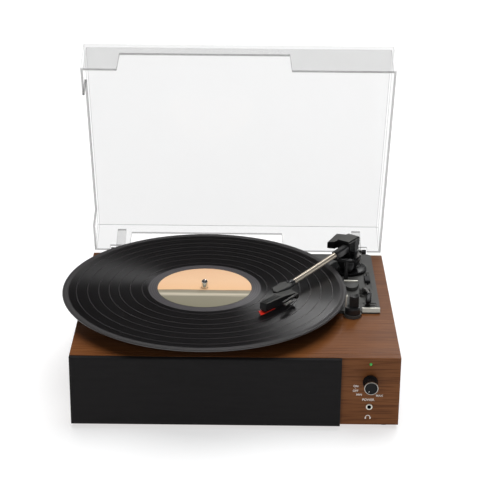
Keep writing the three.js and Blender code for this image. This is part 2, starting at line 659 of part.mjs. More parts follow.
/** Puts a piece that is modelled round the X axis on the sloping axis of the tube. */
function onTubeAxis(geometry) {
  return geometry.rotateY(degrees(ARM_SLOPE)).translate(0, 0, ARM_AXIS_HEIGHT);
}

function armBase() {
  piece(arm, 'tonearm_base', ring([
    [3.7, DECK_TOP + SEAM], [20.6, DECK_TOP + SEAM], [20.6, 5.6], [19.8, 6.5],
    [9.5, 6.5], [9.5, 6.7], [3.7, 6.7],
  ], 32), 'blackPlastic');
}

/** One upright cheek of the yoke, with a round top about the lift axis. */
function cheek(y0, y1) {
  const shape = new THREE.Shape();
  shape.moveTo(-4, 13);
  shape.lineTo(4, 13);
  shape.absarc(0, ARM_HINGE_HEIGHT, 4, 0, Math.PI, false);
  return upright(shape, y0, y1, 6);
}

function yoke() {
  const bowl = turned([
    [0, -13], [3.2, -13], [3.2, 7.2], [8.6, 7.2], [10.5, 9.5], [14.2, 17.5], [14.6, 20],
    [12.9, 20], [12.4, 17.5], [9, 14], [0, 14],
  ], 28);
  const shield = turned([[0, 8], [3, 8.5], [5, 11], [5, 16.5], [4.2, 17.4], [0, 17.4]], 14);
  const hollow = turned([[0, 14], [9, 14], [12.4, 17.5], [12.9, 20], [12.9, 26], [0, 26]], 28);
  const body = cut(join(bowl, shield.translate(10.4, 7.3, 0)), hollow);
  const cheeks = join(cheek(-12.1, -9.5), cheek(9.5, 12.1));
  const pinHole = rodAlongY(1.8, -14, 14, 14).translate(0, 0, ARM_HINGE_HEIGHT);
  piece(arm, 'tonearm_yoke', cut(body.add(cheeks), pinHole), 'blackPlastic');

  const pin = [[0, -12.6], [1.5, -12.6], [1.5, 12.4], [3.1, 12.4], [2.7, 13.2], [0, 13.2]];
  piece(arm, 'cross_pin', turnedAboutY(pin, 16), 'steel', 0, 0, ARM_HINGE_HEIGHT);
}

function armHead() {
  const cap = block(-16.9, 6.8, -11.3, 3.8, 29.4, 38);
  const wing = plate(outline([
    [6.8, -11], [10.8, -12], [14.2, -19.3], [-13.1, -24.2], [-16.9, -11],
  ]), 29.4, 36.2);
  const core = block(-13.9, 5.4, -8.5, 5.2, 19.6, 30);
  const collar = onTubeAxis(block(4, 29.4, -4, 4, -3.9, 3.9));
  const pinHole = rodAlongY(1.85, -12, 12, 14).translate(0, 0, ARM_HINGE_HEIGHT);
  const tubeBore = onTubeAxis(rodAlongX(TUBE_RADIUS + GAP, 12, 32, 20));
  const undercut = upright(outline([[-6, 19.5], [-6, 18], [-20, 18], [-20, 28], [-14, 24.4]]), -14, 14);
  const flutes = [3.8, 1.4, -1, -3.4].map((x) => block(x - 0.5, x + 0.5, 4.5, 6, 18, 28));
  const head = cut(join(cap, wing, core, collar), pinHole, tubeBore, undercut, ...flutes);
  piece(arm, 'tonearm_head', head, 'blackPlastic');
}

function armTube() {
  const inner = TUBE_RADIUS - 0.6;
  const start = 12.4;
  const tube = turnedAboutY([
    [inner, start], [TUBE_RADIUS, start], [TUBE_RADIUS, TUBE_END], [inner, TUBE_END], [inner, start],
  ], 24);
  piece(arm, 'tonearm_tube', onTubeAxis(tube.rotateZ(-Math.PI / 2)), 'aluminium');

  const ferrule = onTubeAxis(rodAlongX(3.8, 111.5, 121.4, 24));
  const socket = onTubeAxis(rodAlongX(TUBE_RADIUS + GAP, 110, TUBE_END + 0.4, 20));
  const wand = plate(outline([
    [118.4, -3.4], [124.6, -4.6], [142.5, -2.6], [147, 3.9], [124, 6.4], [118.4, 3.6],
  ]), 27.2, 30.4);
  piece(arm, 'wand_plate', cut(join(ferrule, wand), socket), 'blackPlastic');
}

function headshell() {
  const top = plate(outline([
    [128.5, 7.2], [147.6, 4.6], [150.5, 2], [176.8, 3], [179.9, 10.8], [152, 14.9], [131, 18],
  ]), 23, 29.8);
  const tongue = plate(outline([
    [122.2, -3], [146, -1.6], [151, 3], [152, 12], [134, 14], [122.2, 6],
  ]), 22.9, 26.8);
  const rearSlope = upright(outline([[151, 29.9], [151, 32], [126, 32], [126, 27.6]]), -2, 20);
  const groove = (y) => block(152, 182, y - 0.35, y + 0.35, 29.2, 31).rotateZ(-degrees(5));
  const nose = upright(outline([[181, 22], [181, 31], [175.8, 31], [179, 22]]), 0, 14);
  const shell = cut(join(top, tongue), rearSlope, groove(20.6), groove(23.4), nose);
  piece(arm, 'headshell', shell, 'blackPlastic');

  const bar = plate(outline([[131.9, 18.4], [160, 18.9], [160.6, 21.2], [132.3, 20.9]]), 26.2, 28.2);
  const pad = plate(outline([[147, 20.6], [161.4, 20.4], [162.5, 24.6], [148, 25]]), 25, 26.4);
  const bracket = plate(outline([[131.9, 18.4], [136, 17.8], [137, 20.9], [132.3, 20.9]]), 23.4, 27);
  piece(arm, 'finger_lift', join(bar, pad, bracket), 'steel');
}

function cartridgeAndStylus() {
  const body = outline([[150, 4], [176.3, 4.4], [177.6, 10.2], [151, 13.4]]);
  piece(arm, 'cartridge', plate(body, 20.4, 22.7), 'blackPlastic');
  const corners = [
    [163, 13.2, 20.1], [162.5, 5.2, 20.1], [178.6, 2.6, 20.1], [181.6, 11.2, 20.1],
    [182.6, 8.2, 18.4], [165, 9.4, 18.5],
  ];
  const holder = new ConvexGeometry(corners.map(([x, y, z]) => new THREE.Vector3(x, y, z)));
  const needle = turned([[0, 17.35], [0.45, 18.1], [0.45, 19], [0, 19]], 10).translate(180.6, 8, 0);
  piece(arm, 'stylus', join(holder, needle), 'red');
}

// Dust cover -----------------------------------------------------------------------------
// In the lid group the hinge axis is the X axis, and the cover is modelled closed.

/** A notch in a wall of the cover, open at the bottom and slightly wider there. */
function wallNotch(from, to, bottom, root) {
  return outline([[from - 1.5, bottom - 1], [to + 2, bottom - 1], [to, root], [from, root]]);
}

function dustCover() {
  const [x0, x1] = [LID_LEFT, LID_LEFT + LID_WIDTH];
  const [y0, y1] = [-HINGE_Y + 3, -HINGE_Y + 3 + LID_DEPTH];
  const z0 = LID_BOTTOM - HINGE_HEIGHT;
  const z1 = z0 + LID_HEIGHT;
  const w = LID_WALL;
  const cover = solid(block(x0, x1, y0, y1, z0, z1));
  const hollow = block(x0 + w, x1 - w, y0 + w, y1 - w, z0 - 1, z1 - w);
  const frontNotch = upright(wallNotch(x0 + 39, x0 + 217, z0, z0 + 27.5), y0 - 1, y0 + w + 1);
  const rearNotch = upright(wallNotch(x0 + 41, x0 + 214, z0, z0 + 28.5), y1 - w - 1, y1 + 1);
  const leftNotch = block(x0 - 1, x0 + w + 1, y0 + 35, y1 - 37, z0 - 1, z0 + 28);
  const hingeNotches = HINGE_X.map((x) => block(x - 11.2, x + 11.2, y1 - w - 1, y1 + 1, z0 - 1, 3.4));
  const notches = [frontNotch, rearNotch, leftNotch, ...hingeNotches];
  piece(lid, 'dust_cover', cut(cover, hollow, ...notches), 'acrylic');
}

function hingeLeaves() {
  const strap = outline([
    [-2.9, -1], [-1, -2.9], [1.6, -2.4], [2.9, 0], [2.2, 2.4], [0.8, 5], [0.8, 33], [-1.9, 33],
    [-1.9, 3], [-2.7, 1],
  ]);
  HINGE_X.forEach((x, i) => {
    const leaf = cut(solid(barAlongX(strap, x - 5, x + 5)), rodAlongX(1.7, x - 6, x + 6, 16));
    piece(lid, `hinge_leaf_${['left', 'right'][i]}`, leaf, 'acrylic');
  });
}

function hingeBrackets() {
  const back = CABINET_DEPTH + SEAM;
  const ear = outline([
    [back, -4], [back + 3, -4], [back + 3.4, 0], [HINGE_Y + 2.6, 5.6], [HINGE_Y, 6.8],
    [HINGE_Y - 2.6, 5.6], [HINGE_Y - 3, 2.5], [back, 1.2],
  ]);
  HINGE_X.forEach((x, i) => {
    const flange = block(x - 11, x + 11, back, back + 3, -26, -1.4);
    const ears = [barAlongX(ear, x - 10.5, x - 5.5), barAlongX(ear, x + 5.5, x + 10.5)];
    const pin = rodAlongX(1.3, x - 9, x + 9, 16).translate(0, HINGE_Y, HINGE_HEIGHT);
    piece(deck, `hinge_bracket_${['left', 'right'][i]}`, join(flange, ...ears, pin), 'blackPlastic');
  });
}

// Assembly -------------------------------------------------------------------------------

cabinetPanels();
feet();
grille();
loudspeakers();
frontControls();
electronics();
deckPlate();
deckTrim();
sliders();
armRest();
cueParts();
turntable();
drive();
armBase();
yoke();
armHead();
armTube();
headshell();
cartridgeAndStylus();
dustCover();
hingeLeaves();
hingeBrackets();

const bounds = new THREE.Box3().setFromObject(player, true);
const middle = bounds.getCenter(new THREE.Vector3());
player.position.set(-middle.x, -middle.y, -bounds.min.z);

const recordPlayer = new THREE.Group();
recordPlayer.add(player);

export default recordPlayer;
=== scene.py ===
import json
import math

import bmesh
import bpy
from mathutils import Matrix, Vector

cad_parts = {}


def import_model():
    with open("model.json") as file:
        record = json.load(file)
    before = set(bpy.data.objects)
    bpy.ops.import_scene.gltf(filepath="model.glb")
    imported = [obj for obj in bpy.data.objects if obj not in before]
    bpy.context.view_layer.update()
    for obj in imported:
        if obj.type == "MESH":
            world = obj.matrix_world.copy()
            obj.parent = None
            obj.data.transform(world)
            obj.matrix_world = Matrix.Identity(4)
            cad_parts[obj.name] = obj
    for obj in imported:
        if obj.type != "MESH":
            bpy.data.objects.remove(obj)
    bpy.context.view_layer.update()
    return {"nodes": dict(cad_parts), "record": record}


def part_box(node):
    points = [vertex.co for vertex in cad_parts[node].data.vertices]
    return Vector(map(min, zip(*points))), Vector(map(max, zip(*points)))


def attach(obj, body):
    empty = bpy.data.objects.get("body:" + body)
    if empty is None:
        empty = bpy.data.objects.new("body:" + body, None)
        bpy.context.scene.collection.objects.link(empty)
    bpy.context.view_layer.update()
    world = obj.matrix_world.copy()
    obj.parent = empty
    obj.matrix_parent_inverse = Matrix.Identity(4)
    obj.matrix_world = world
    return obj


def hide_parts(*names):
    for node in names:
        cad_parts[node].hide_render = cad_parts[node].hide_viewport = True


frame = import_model()

# Places ----------------------------------------------------------------------------------
# A new piece is modelled in millimetres in one of these frames and then carried into metres:
# CABINET from the cabinet's front left bottom corner, DECK above that corner on the top panel,
# TURNING about the spindle and ARM about the tonearm's pivot, with X along the tube.

MM = 0.001
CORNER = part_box("front_baffle")[0]                 # the cabinet's front left bottom corner
DECK_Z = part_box("top_panel")[1].z
SPINDLE = sum(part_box("spindle"), Vector()) / 2
PIVOT = sum(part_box("tonearm_base"), Vector()) / 2
ARM_ANGLE = math.radians(-125)                     # of the tube, from +X

DECK_CORNER = Vector((CORNER.x, CORNER.y, DECK_Z))
CABINET = Matrix.Translation(CORNER) @ Matrix.Scale(MM, 4)
DECK = Matrix.Translation(DECK_CORNER) @ Matrix.Scale(MM, 4)
TURNING = Matrix.Translation((SPINDLE.x, SPINDLE.y, DECK_Z)) @ Matrix.Scale(MM, 4)
ARM = (Matrix.Translation((PIVOT.x, PIVOT.y, DECK_Z)) @ Matrix.Rotation(ARM_ANGLE, 4, "Z")
       @ Matrix.Scale(MM, 4))


def on_front(x, z):
    """A frame whose Z axis is a line through the front panel, pointing out of it."""
    return CABINET @ Matrix.Translation((x, 0, z)) @ Matrix.Rotation(math.pi / 2, 4, "X")


# Camera, floor and light -----------------------------------------------------------------

def make_camera():
    """A long lens in front of the cabinet, looking down at it."""
    camera = bpy.data.objects.new("camera", bpy.data.cameras.new("camera"))
    bpy.context.scene.collection.objects.link(camera)
    camera.data.lens = 116.6
    camera.data.sensor_width = 36
    camera.data.clip_end = 60
    place = CABINET @ Vector((175.8, -1381.5, 769.7))
    pitch, yaw, roll = 0.391, 0.005, 0.008
    turn = (Matrix.Rotation(yaw, 4, "Z") @ Matrix.Rotation(math.pi / 2 - pitch, 4, "X")
            @ Matrix.Rotation(roll, 4, "Z"))
    camera.matrix_world = Matrix.Translation(place) @ turn
    bpy.context.scene.camera = camera


def softbox(name, place, target, size, power, mirrored=True):
    """A soft light; one that isn't mirrored leaves no highlight on glossy parts."""
    light = bpy.data.lights.new(name, "AREA")
    light.shape = "RECTANGLE"
    light.size, light.size_y = size
    light.energy = power
    lamp = bpy.data.objects.new(name, light)
    lamp.visible_glossy = mirrored
    bpy.context.scene.collection.objects.link(lamp)
    lamp.location = place
    lamp.rotation_euler = (Vector(target) - Vector(place)).to_track_quat("-Z", "Y").to_euler()


def make_sky():
    """Pale up to the horizon, near black above it and dim overhead, so that gloss stays dark."""
    world = bpy.data.worlds.new("studio")
    bpy.context.scene.world = world
    world.use_nodes = True
    nodes, links = world.node_tree.nodes, world.node_tree.links
    height = nodes.new("ShaderNodeSeparateXYZ")
    links.new(nodes.new("ShaderNodeTexCoord").outputs["Generated"], height.inputs[0])
    ramp = nodes.new("ShaderNodeValToRGB")
    links.new(height.outputs["Z"], ramp.inputs["Fac"])
    stops = ((0.0, 0.9), (0.06, 0.75), (0.15, 0.03), (0.7, 0.03), (1.0, 0.3))
    for position, _ in stops[1:-1]:
        ramp.color_ramp.elements.new(position)
    for element, (position, grey) in zip(ramp.color_ramp.elements, stops):
        element.position = position
        element.color = (grey, grey, grey, 1)
    links.new(ramp.outputs["Color"], nodes["Background"].inputs["Color"])


def make_studio():
    bpy.context.scene.view_settings.view_transform = "Standard"
    make_sky()
    softbox("overhead", (0.3, 1.0, 3.6), (0, 0.2, 0), (3.2, 3.2), 160, mirrored=False)
    softbox("back_right", (0.86, 2.85, 2.1), (0, 0, 0.05), (0.9, 0.9), 25)
    softbox("front", (-0.7, -3.0, 1.5), (0, 0, 0.05), (2.4, 1.6), 26, mirrored=False)

    floor = bpy.data.objects.new("floor", bpy.data.meshes.new("floor"))
    bm = bmesh.new()
    bmesh.ops.create_grid(bm, x_segments=1, y_segments=1, size=9)
    bm.to_mesh(floor.data)
    bm.free()
    bpy.context.scene.collection.objects.link(floor)
    paper = Surface("floor_paper", (0.45, 0.45, 0.453), 0.9, Emission_Color=(1, 1, 1, 1),
                    Emission_Strength=0.62)
    floor.data.materials.append(paper.material)


# Materials -------------------------------------------------------------------------------

class Surface:
    """One procedural material: a Principled shader and the textures that feed it."""

    def __init__(self, name, colour, roughness, **constants):
        self.material = bpy.data.materials.new(name)
        self.material.use_nodes = True
        self.nodes = self.material.node_tree.nodes
        self.shader = self.nodes["Principled BSDF"]
        self.colour = colour
        self.shader.inputs["Base Color"].default_value = (*colour, 1)
        self.shader.inputs["Roughness"].default_value = roughness
        for socket, value in constants.items():
            self.shader.inputs[socket.replace("_", " ")].default_value = value

    def node(self, kind, *links, **settings):
        """A new node; links are (socket, value or output) pairs."""
        node = self.nodes.new("ShaderNode" + kind)
        for key, value in settings.items():
            setattr(node, key, value)
        for socket, value in links:
            if isinstance(value, bpy.types.NodeSocket):
                self.material.node_tree.links.new(value, node.inputs[socket])
            else:
                node.inputs[socket].default_value = value
        return node

    def feed(self, socket, output):
        self.material.node_tree.links.new(output, self.shader.inputs[socket])

    def place(self, scale=(1, 1, 1), centre=(0, 0, 0)):
        """Object coordinates, moved to a centre and scaled."""
        base = self.node("TexCoord").outputs["Object"]
        moved = self.node("VectorMath", (0, base), (1, centre), operation="SUBTRACT").outputs[0]
        return self.node("Mapping", ("Vector", moved), ("Scale", scale)).outputs[0]

    def noise(self, vector, scale, detail=4, roughness=0.55, distortion=0):
        return self.node("TexNoise", ("Vector", vector), ("Scale", scale), ("Detail", detail),
                         ("Roughness", roughness), ("Distortion", distortion)).outputs["Fac"]

    def rings(self, vector, pitch):
        """Waves round the Z axis, a pitch in millimetres apart."""
        scale = math.pi / (10 * pitch * MM)        # at scale 1 the waves are pi / 10 apart
        return self.node("TexWave", ("Vector", vector), ("Scale", scale), wave_type="RINGS",
                         rings_direction="Z").outputs["Fac"]

    def bands(self, vector, scale, direction):
        return self.node("TexWave", ("Vector", vector), ("Scale", scale),
                         bands_direction=direction).outputs["Fac"]

    def ramp(self, factor, *stops):
        """Colours along a factor; stops are (position, colour)."""
        ramp = self.node("ValToRGB", ("Fac", factor))
        elements = ramp.color_ramp.elements
        while len(elements) < len(stops):
            elements.new(0.5)
        for element, (position, colour) in zip(elements, stops):
            element.position = position
            element.color = (*colour, 1)
        return ramp.outputs["Color"]

    def spread(self, factor, low, high):
        """A factor from 0 to 1 turned into a value from low to high."""
        return self.node("MapRange", ("Value", factor), ("To Min", low), ("To Max", high)).outputs[0]

    def mix(self, factor, a, b, blend="MIX"):
        """Two colours mixed; 6 and 7 are the node's colour inputs and 2 its colour output."""
        node = self.node("Mix", (0, factor), (6, a), (7, b), data_type="RGBA", blend_type=blend)
        return node.outputs[2]

    def math(self, operation, a, b):
        return self.node("Math", (0, a), (1, b), operation=operation).outputs[0]

    def bump(self, height, distance, strength=1.0):
        self.feed("Normal", self.node("Bump", ("Height", height), ("Distance", distance),
                                      ("Strength", strength)).outputs[0])

    def shade(self, factor, amount):
        """Base colour varied by a factor, up and down by an amount."""
        low = tuple(c * (1 - amount) for c in self.colour)
        high = tuple(min(1, c * (1 + amount)) for c in self.colour)
        self.feed("Base Color", self.ramp(factor, (0.3, low), (0.7, high)))


def wood(name, along):
    """Walnut veneer, its grain along X or Y."""
    s = Surface(name, (0.14, 0.047, 0.013), 0.42, Specular_IOR_Level=0.14)

    def grain(lengthwise, across):
        return s.place((lengthwise, across, across) if along == "x" else (across, lengthwise, across))

    figure = s.noise(grain(2.2, 24), 1.0, detail=5, roughness=0.6, distortion=1.4)
    streaks = s.noise(grain(5, 130), 1.0, detail=8, roughness=0.62, distortion=0.5)
    pores = s.noise(grain(22, 900), 1.0, detail=3, roughness=0.5)
    tone = s.ramp(figure, (0.28, (0.098, 0.03, 0.0075)), (0.5, (0.14, 0.047, 0.013)),
                  (0.72, (0.18, 0.066, 0.02)))
    tone = s.mix(s.spread(streaks, 0.0, 0.75), tone, (0.2, 0.077, 0.026, 1))
    lines = s.ramp(pores, (0.4, (0.48, 0.42, 0.38)), (0.52, (1, 1, 1)))
    s.feed("Base Color", s.mix(0.75, tone, lines, "MULTIPLY"))
    s.feed("Roughness", s.spread(streaks, 0.36, 0.5))
    s.bump(s.math("ADD", pores, streaks), 0.00006, 0.5)
    return s.material


def board():
    """Pressed fibre board."""
    s = Surface("board", (0.3, 0.19, 0.1), 0.8)
    chips = s.node("TexVoronoi", ("Vector", s.place()), ("Scale", 420)).outputs["Distance"]
    fibre = s.noise(s.place(), 160, 6)
    s.shade(s.math("MULTIPLY", chips, fibre), 0.3)
    s.bump(fibre, 0.0002)
    return s.material


def cloth():
    """Black open-weave speaker cloth."""
    s = Surface("grille_cloth", (0.014, 0.013, 0.0135), 0.9, Sheen_Weight=0.05,
                Specular_IOR_Level=0.15)
    threads = 420
    weave = s.math("MULTIPLY", s.bands(s.place(), threads, "X"), s.bands(s.place(), threads, "Z"))
    slub = s.noise(s.place((30, 30, 400)), 1, 3)
    s.feed("Base Color", s.mix(s.spread(s.math("ADD", weave, slub), 0, 0.6),
                               (0.0075, 0.007, 0.0075, 1), (0.0195, 0.0185, 0.019, 1)))
    s.bump(weave, 0.00025)
    return s.material


def plastic(name, colour, roughness, grain=0.00003, speck=900, **constants):
    """Moulded plastic with a fine grain of a height in metres and slight wear in its gloss."""
    s = Surface(name, colour, roughness, **constants)
    fine = s.noise(s.place(), speck, 3)
    broad = s.noise(s.place(), 45, 3)
    s.shade(broad, 0.14)
    s.feed("Roughness", s.spread(s.mix(0.5, fine, broad), roughness * 0.8, roughness * 1.25))
    s.bump(fine, grain)
    return s.material


def vinyl(name, colour, roughness, pitch, depth, **constants):
    """Pressed vinyl with rings about the spindle, their pitch and depth in millimetres."""
    s = Surface(name, colour, roughness, **constants)
    flat = s.place((1, 1, 0), centre=SPINDLE)
    grooves = s.rings(flat, pitch)
    drift = s.noise(flat, 14, 2)
    # The colour rises and falls along the rings as painted sheen of the grooves, mixed with a random
    # drift in tone.
    s.shade(s.math("ADD", s.math("MULTIPLY", grooves, 0.6), s.math("MULTIPLY", drift, 0.4)), 0.25)
    s.bump(grooves, depth * MM)
    tangent = s.node("Tangent", direction_type="RADIAL", axis="Z")
    s.feed("Tangent", tangent.outputs[0])
    return s.material


def label_paper():
    """A plain two-tone label: a warm upper half over a grey-green lower half."""
    s = Surface("label_paper", (0.85, 0.5, 0.26), 0.62)
    flat = s.place((1, 1, 0), centre=SPINDLE)
    up = s.node("SeparateXYZ", (0, flat)).outputs["Y"]
    ripple = s.noise(s.place((12, 160, 0), centre=SPINDLE), 1, 4)
    wavy = s.math("ADD", up, s.math("MULTIPLY", ripple, 0.006))
    radius = 0.05
    height = s.node("MapRange", ("Value", wavy), ("From Min", -radius), ("From Max", radius)).outputs[0]
    lower = ((0.0, (0.2, 0.19, 0.13)), (0.3, (0.24, 0.225, 0.165)))
    pale_line = ((0.35, (0.62, 0.56, 0.44)), (0.4, (0.27, 0.25, 0.185)))
    dark_line = ((0.44, (0.3, 0.27, 0.2)), (0.455, (0.2, 0.15, 0.1)))
    upper = ((0.47, (0.9, 0.55, 0.3)), (0.7, (0.93, 0.6, 0.36)), (1.0, (0.9, 0.56, 0.33)))
    tones = s.ramp(height, *lower, *pale_line, *dark_line, *upper)
    fibres = s.noise(s.place(), 700, 4)
    s.feed("Base Color", s.mix(s.spread(fibres, 0.0, 0.14), tones, (0.35, 0.25, 0.17, 1)))
    s.bump(fibres, 0.00003)
    return s.material


def metal(name, colour, roughness, brush=(1, 1, 1), depth=0.00001, metallic=1.0):
    """Metal with brush marks; brush is how much finer they are along each axis."""
    s = Surface(name, colour, roughness, Metallic=metallic)
    lines = s.noise(s.place(brush), 800, 3)
    cloud = s.noise(s.place(), 60, 2)
    s.shade(s.mix(0.5, lines, cloud), 0.1)
    s.feed("Roughness", s.spread(lines, roughness * 0.75, roughness * 1.35))
    if depth:
        s.bump(lines, depth)
    return s.material


def felt():
    """The slip mat's matted wool."""
    s = Surface("felt", (0.02, 0.02, 0.021), 0.95, Sheen_Weight=0.3)
    hairs = s.noise(s.place(), 1500, detail=6, roughness=0.7, distortion=1.5)
    s.shade(hairs, 0.5)
    s.bump(hairs, 0.0003)
    return s.material


def lens():
    """Green plastic with a lamp behind it."""
    s = Surface("green_lens", (0.07, 0.34, 0.08), 0.2, Emission_Color=(0.05, 0.4, 0.07, 1),
                Emission_Strength=0.3)
    s.shade(s.noise(s.place(), 700, 2), 0.2)
    return s.material


def circuit_board():
    """Green lacquer over a grid of tracks."""
    s = Surface("circuit_board", (0.02, 0.17, 0.07), 0.35)
    tracks = s.node("TexBrick", ("Vector", s.place((220, 220, 220))), ("Scale", 1.0),
                    ("Color1", (0.02, 0.17, 0.07, 1)), ("Color2", (0.03, 0.22, 0.09, 1)),
                    ("Mortar", (0.25, 0.3, 0.1, 1)), ("Mortar Size", 0.03)).outputs["Color"]
    s.feed("Base Color", tracks)
    s.bump(s.noise(s.place(), 500, 3), 0.00005)
    return s.material


def cone_paper():
    """Dark pulp paper."""
    s = Surface("speaker_paper", (0.03, 0.029, 0.028), 0.9)
    pulp = s.noise(s.place(), 900, detail=6, roughness=0.7)
    s.shade(pulp, 0.4)
    s.bump(pulp, 0.0002)
    return s.material


def acrylic(name, colour, clear, grazing):
    """Clear acrylic; clear and grazing are how solid it looks face on and at a low angle."""
    s = Surface(name, colour, 0.06)
    facing = s.node("LayerWeight", ("Blend", 0.35)).outputs["Facing"]
    scratches = s.noise(s.place((60, 900, 900)), 1, 2)
    haze = s.math("ADD", facing, s.math("MULTIPLY", scratches, 0.02))
    s.feed("Alpha", s.spread(haze, clear, grazing))
    s.feed("Roughness", s.spread(scratches, 0.03, 0.1))
    s.shade(s.noise(s.place(), 8, 2), 0.04)
    return s.material


def make_materials():
    return {
        "wood_x": wood("walnut_along_x", "x"),
        "wood_y": wood("walnut_along_y", "y"),
        "board": board(),
        "cloth": cloth(),
        "black": plastic("black_plastic", (0.016, 0.016, 0.017), 0.32),
        # A paler black for upward faces only: painted sheen of the light from behind on the tops.
        "painted_satin_sheen": plastic("painted_satin_sheen_black", (0.024, 0.024, 0.0235), 0.55, 0.00004, 700,
                         Specular_IOR_Level=0.6),
        # The deck plate's black is lightened: painted sheen of the light from behind on the glossy
        # deck.
        "deck": plastic("deck_black_painted_sheen", (0.06, 0.06, 0.057), 0.55, 0.00004, 700,
                        Specular_IOR_Level=0.6),
        "deep": plastic("deep_black", (0.007, 0.007, 0.0075), 0.26, Specular_IOR_Level=0.12),
        # A still paler black for upward faces only: painted sheen on the tops of the head, the wand
        # plate and the headshell.
        "painted_sheen": plastic("painted_sheen_black", (0.05, 0.05, 0.047), 0.5, 0.00004, 700,
                        Specular_IOR_Level=0.6),
        "matte": plastic("matte_black", (0.03, 0.03, 0.033), 0.6, 0.00008, 500),
        "red": plastic("red_plastic", (0.75, 0.025, 0.012), 0.3),
        "rubber": plastic("rubber", (0.012, 0.012, 0.013), 0.55, 0.00006, 600),
        "white": plastic("white_print", (0.8, 0.78, 0.74), 0.6),
        "grooves": vinyl("vinyl_grooves", (0.0045, 0.0038, 0.0042), 0.3, 1.3, 0.01,
                         Anisotropic=0.92, Anisotropic_Rotation=0.25, Specular_IOR_Level=0.45),
        # The run-out, the track gaps and the bead are paler than the grooves: painted sheen of smooth
        # vinyl.
        "wax": vinyl("vinyl_run_out_painted_sheen", (0.075, 0.07, 0.074), 0.34, 2.4, 0.004, Anisotropic=0.6,
                     Anisotropic_Rotation=0.25),
        "gap": vinyl("vinyl_track_gap_painted_sheen", (0.036, 0.033, 0.035), 0.25, 0.8, 0.002),
        "rim": vinyl("vinyl_rim_painted_sheen", (0.04, 0.038, 0.039), 0.36, 0.8, 0.001),
        "label": label_paper(),
        "felt": felt(),
        "steel": metal("brushed_steel", (0.6, 0.59, 0.55), 0.3, (1, 12, 12)),
        "dark_steel": metal("dark_steel", (0.16, 0.155, 0.15), 0.34, (1, 6, 6)),
        "silver": metal("silver_trim", (0.78, 0.76, 0.68), 0.42, (1, 14, 14), metallic=0.45),
        "aluminium": metal("aluminium", (0.72, 0.69, 0.63), 0.3, (1, 8, 8)),
        "tube": metal("tonearm_tube", (0.7, 0.62, 0.51), 0.34, (1, 1, 1), 0, metallic=0.8),
        "chrome": metal("chrome", (0.78, 0.78, 0.78), 0.08, depth=0.000002),
        "brass": metal("brass", (0.62, 0.42, 0.17), 0.28, (1, 1, 10)),
        "green": lens(),
        "circuit": circuit_board(),
        "cone": cone_paper(),
        "acrylic": acrylic("clear_acrylic", (0.2, 0.203, 0.2), 0.16, 0.1),
        # The cut rims are darker and more solid: painted shade for the light that the acrylic bends at
        # its edges.
        "acrylic_edge_painted_shade": acrylic("acrylic_edge_painted_shade", (0.05, 0.05, 0.044), 0.5, 0.8),
    }


# Mesh helpers ----------------------------------------------------------------------------

def finish(name, bm, place, material, slot, body, *nodes, smooth=35):
    """Makes a piece of a mesh that its place carries into metres, standing for CAD nodes."""
    bmesh.ops.transform(bm, matrix=place, verts=bm.verts)
    bmesh.ops.recalc_face_normals(bm, faces=bm.faces)
    mesh = bpy.data.meshes.new(name)
    bm.to_mesh(mesh)
    bm.free()
    piece = bpy.data.objects.new(name, mesh)
    bpy.context.scene.collection.objects.link(piece)
    for entry in material if isinstance(material, list) else [material]:
        mesh.materials.append(LOOK[entry])
    mesh.shade_smooth()
    mesh.set_sharp_from_angle(angle=math.radians(smooth))
    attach(piece, body)
    if nodes:
        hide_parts(*nodes)
    return piece


def paint_sheen_on_tops(piece, least=0.75):
    """Gives a piece's upward faces its second material, a paler black as painted sheen; least is their
    lowest normal Z.
    """
    for face in piece.data.polygons:
        if face.normal.z > least:
            face.material_index = 1
    return piece


def soften(piece, width, segments=2):
    """Rounds a piece's sharp edges by a width in millimetres."""
    bevel = piece.modifiers.new("rounded_edges", "BEVEL")
    bevel.width = width * MM
    bevel.segments = segments
    bevel.limit_method = "ANGLE"
    bevel.angle_limit = math.radians(32)
    return piece


def refined(node, material, slot, width):
    """A copy of a CAD node with clean faces, rounded edges and smooth round stretches."""
    bm = bmesh.new()
    bm.from_mesh(frame["nodes"][node].data)
    same_place, same_plane = 1e-6, math.radians(1)
    bmesh.ops.remove_doubles(bm, verts=bm.verts, dist=same_place)
    bmesh.ops.dissolve_limit(bm, angle_limit=same_plane, verts=bm.verts, edges=bm.edges)
    body = next(b for b, nodes in frame["record"]["behaviour"]["bodies"].items() if node in nodes)
    piece = finish(f"{node}_finished", bm, Matrix.Identity(4), material, slot, body, node)
    return soften(piece, width)


def turned(profile, segments, ripple=None, closed=False):
    """A turned mesh about Z; profile points are (radius, height).
    ripple(angle, index) gives an amount to add to a point's radius."""
    bm = bmesh.new()
    rows = []
    for index, (radius, height) in enumerate(profile):
        if radius == 0:
            rows.append([bm.verts.new((0, 0, height))])
            continue
        row = []
        for k in range(segments):
            angle = 2 * math.pi * k / segments
            r = radius + (ripple(angle, index) if ripple else 0)
            row.append(bm.verts.new((r * math.cos(angle), r * math.sin(angle), height)))
        rows.append(row)
    pairs = list(zip(rows, rows[1:])) + ([(rows[-1], rows[0])] if closed else [])
    for a, b in pairs:
        for k in range(segments):
            quad = [a[k % len(a)], a[(k + 1) % len(a)], b[(k + 1) % len(b)], b[k % len(b)]]
            corners = [v for i, v in enumerate(quad) if v not in quad[:i]]
            if len(corners) > 2:
                bm.faces.new(corners)
    return bm


def arc_points(cx, cy, radius, start, end, steps=8):
    """Points of an arc, with angles in degrees."""
    angles = [math.radians(start + (end - start) * i / steps) for i in range(steps + 1)]
    return [(cx + radius * math.cos(a), cy + radius * math.sin(a)) for a in angles]


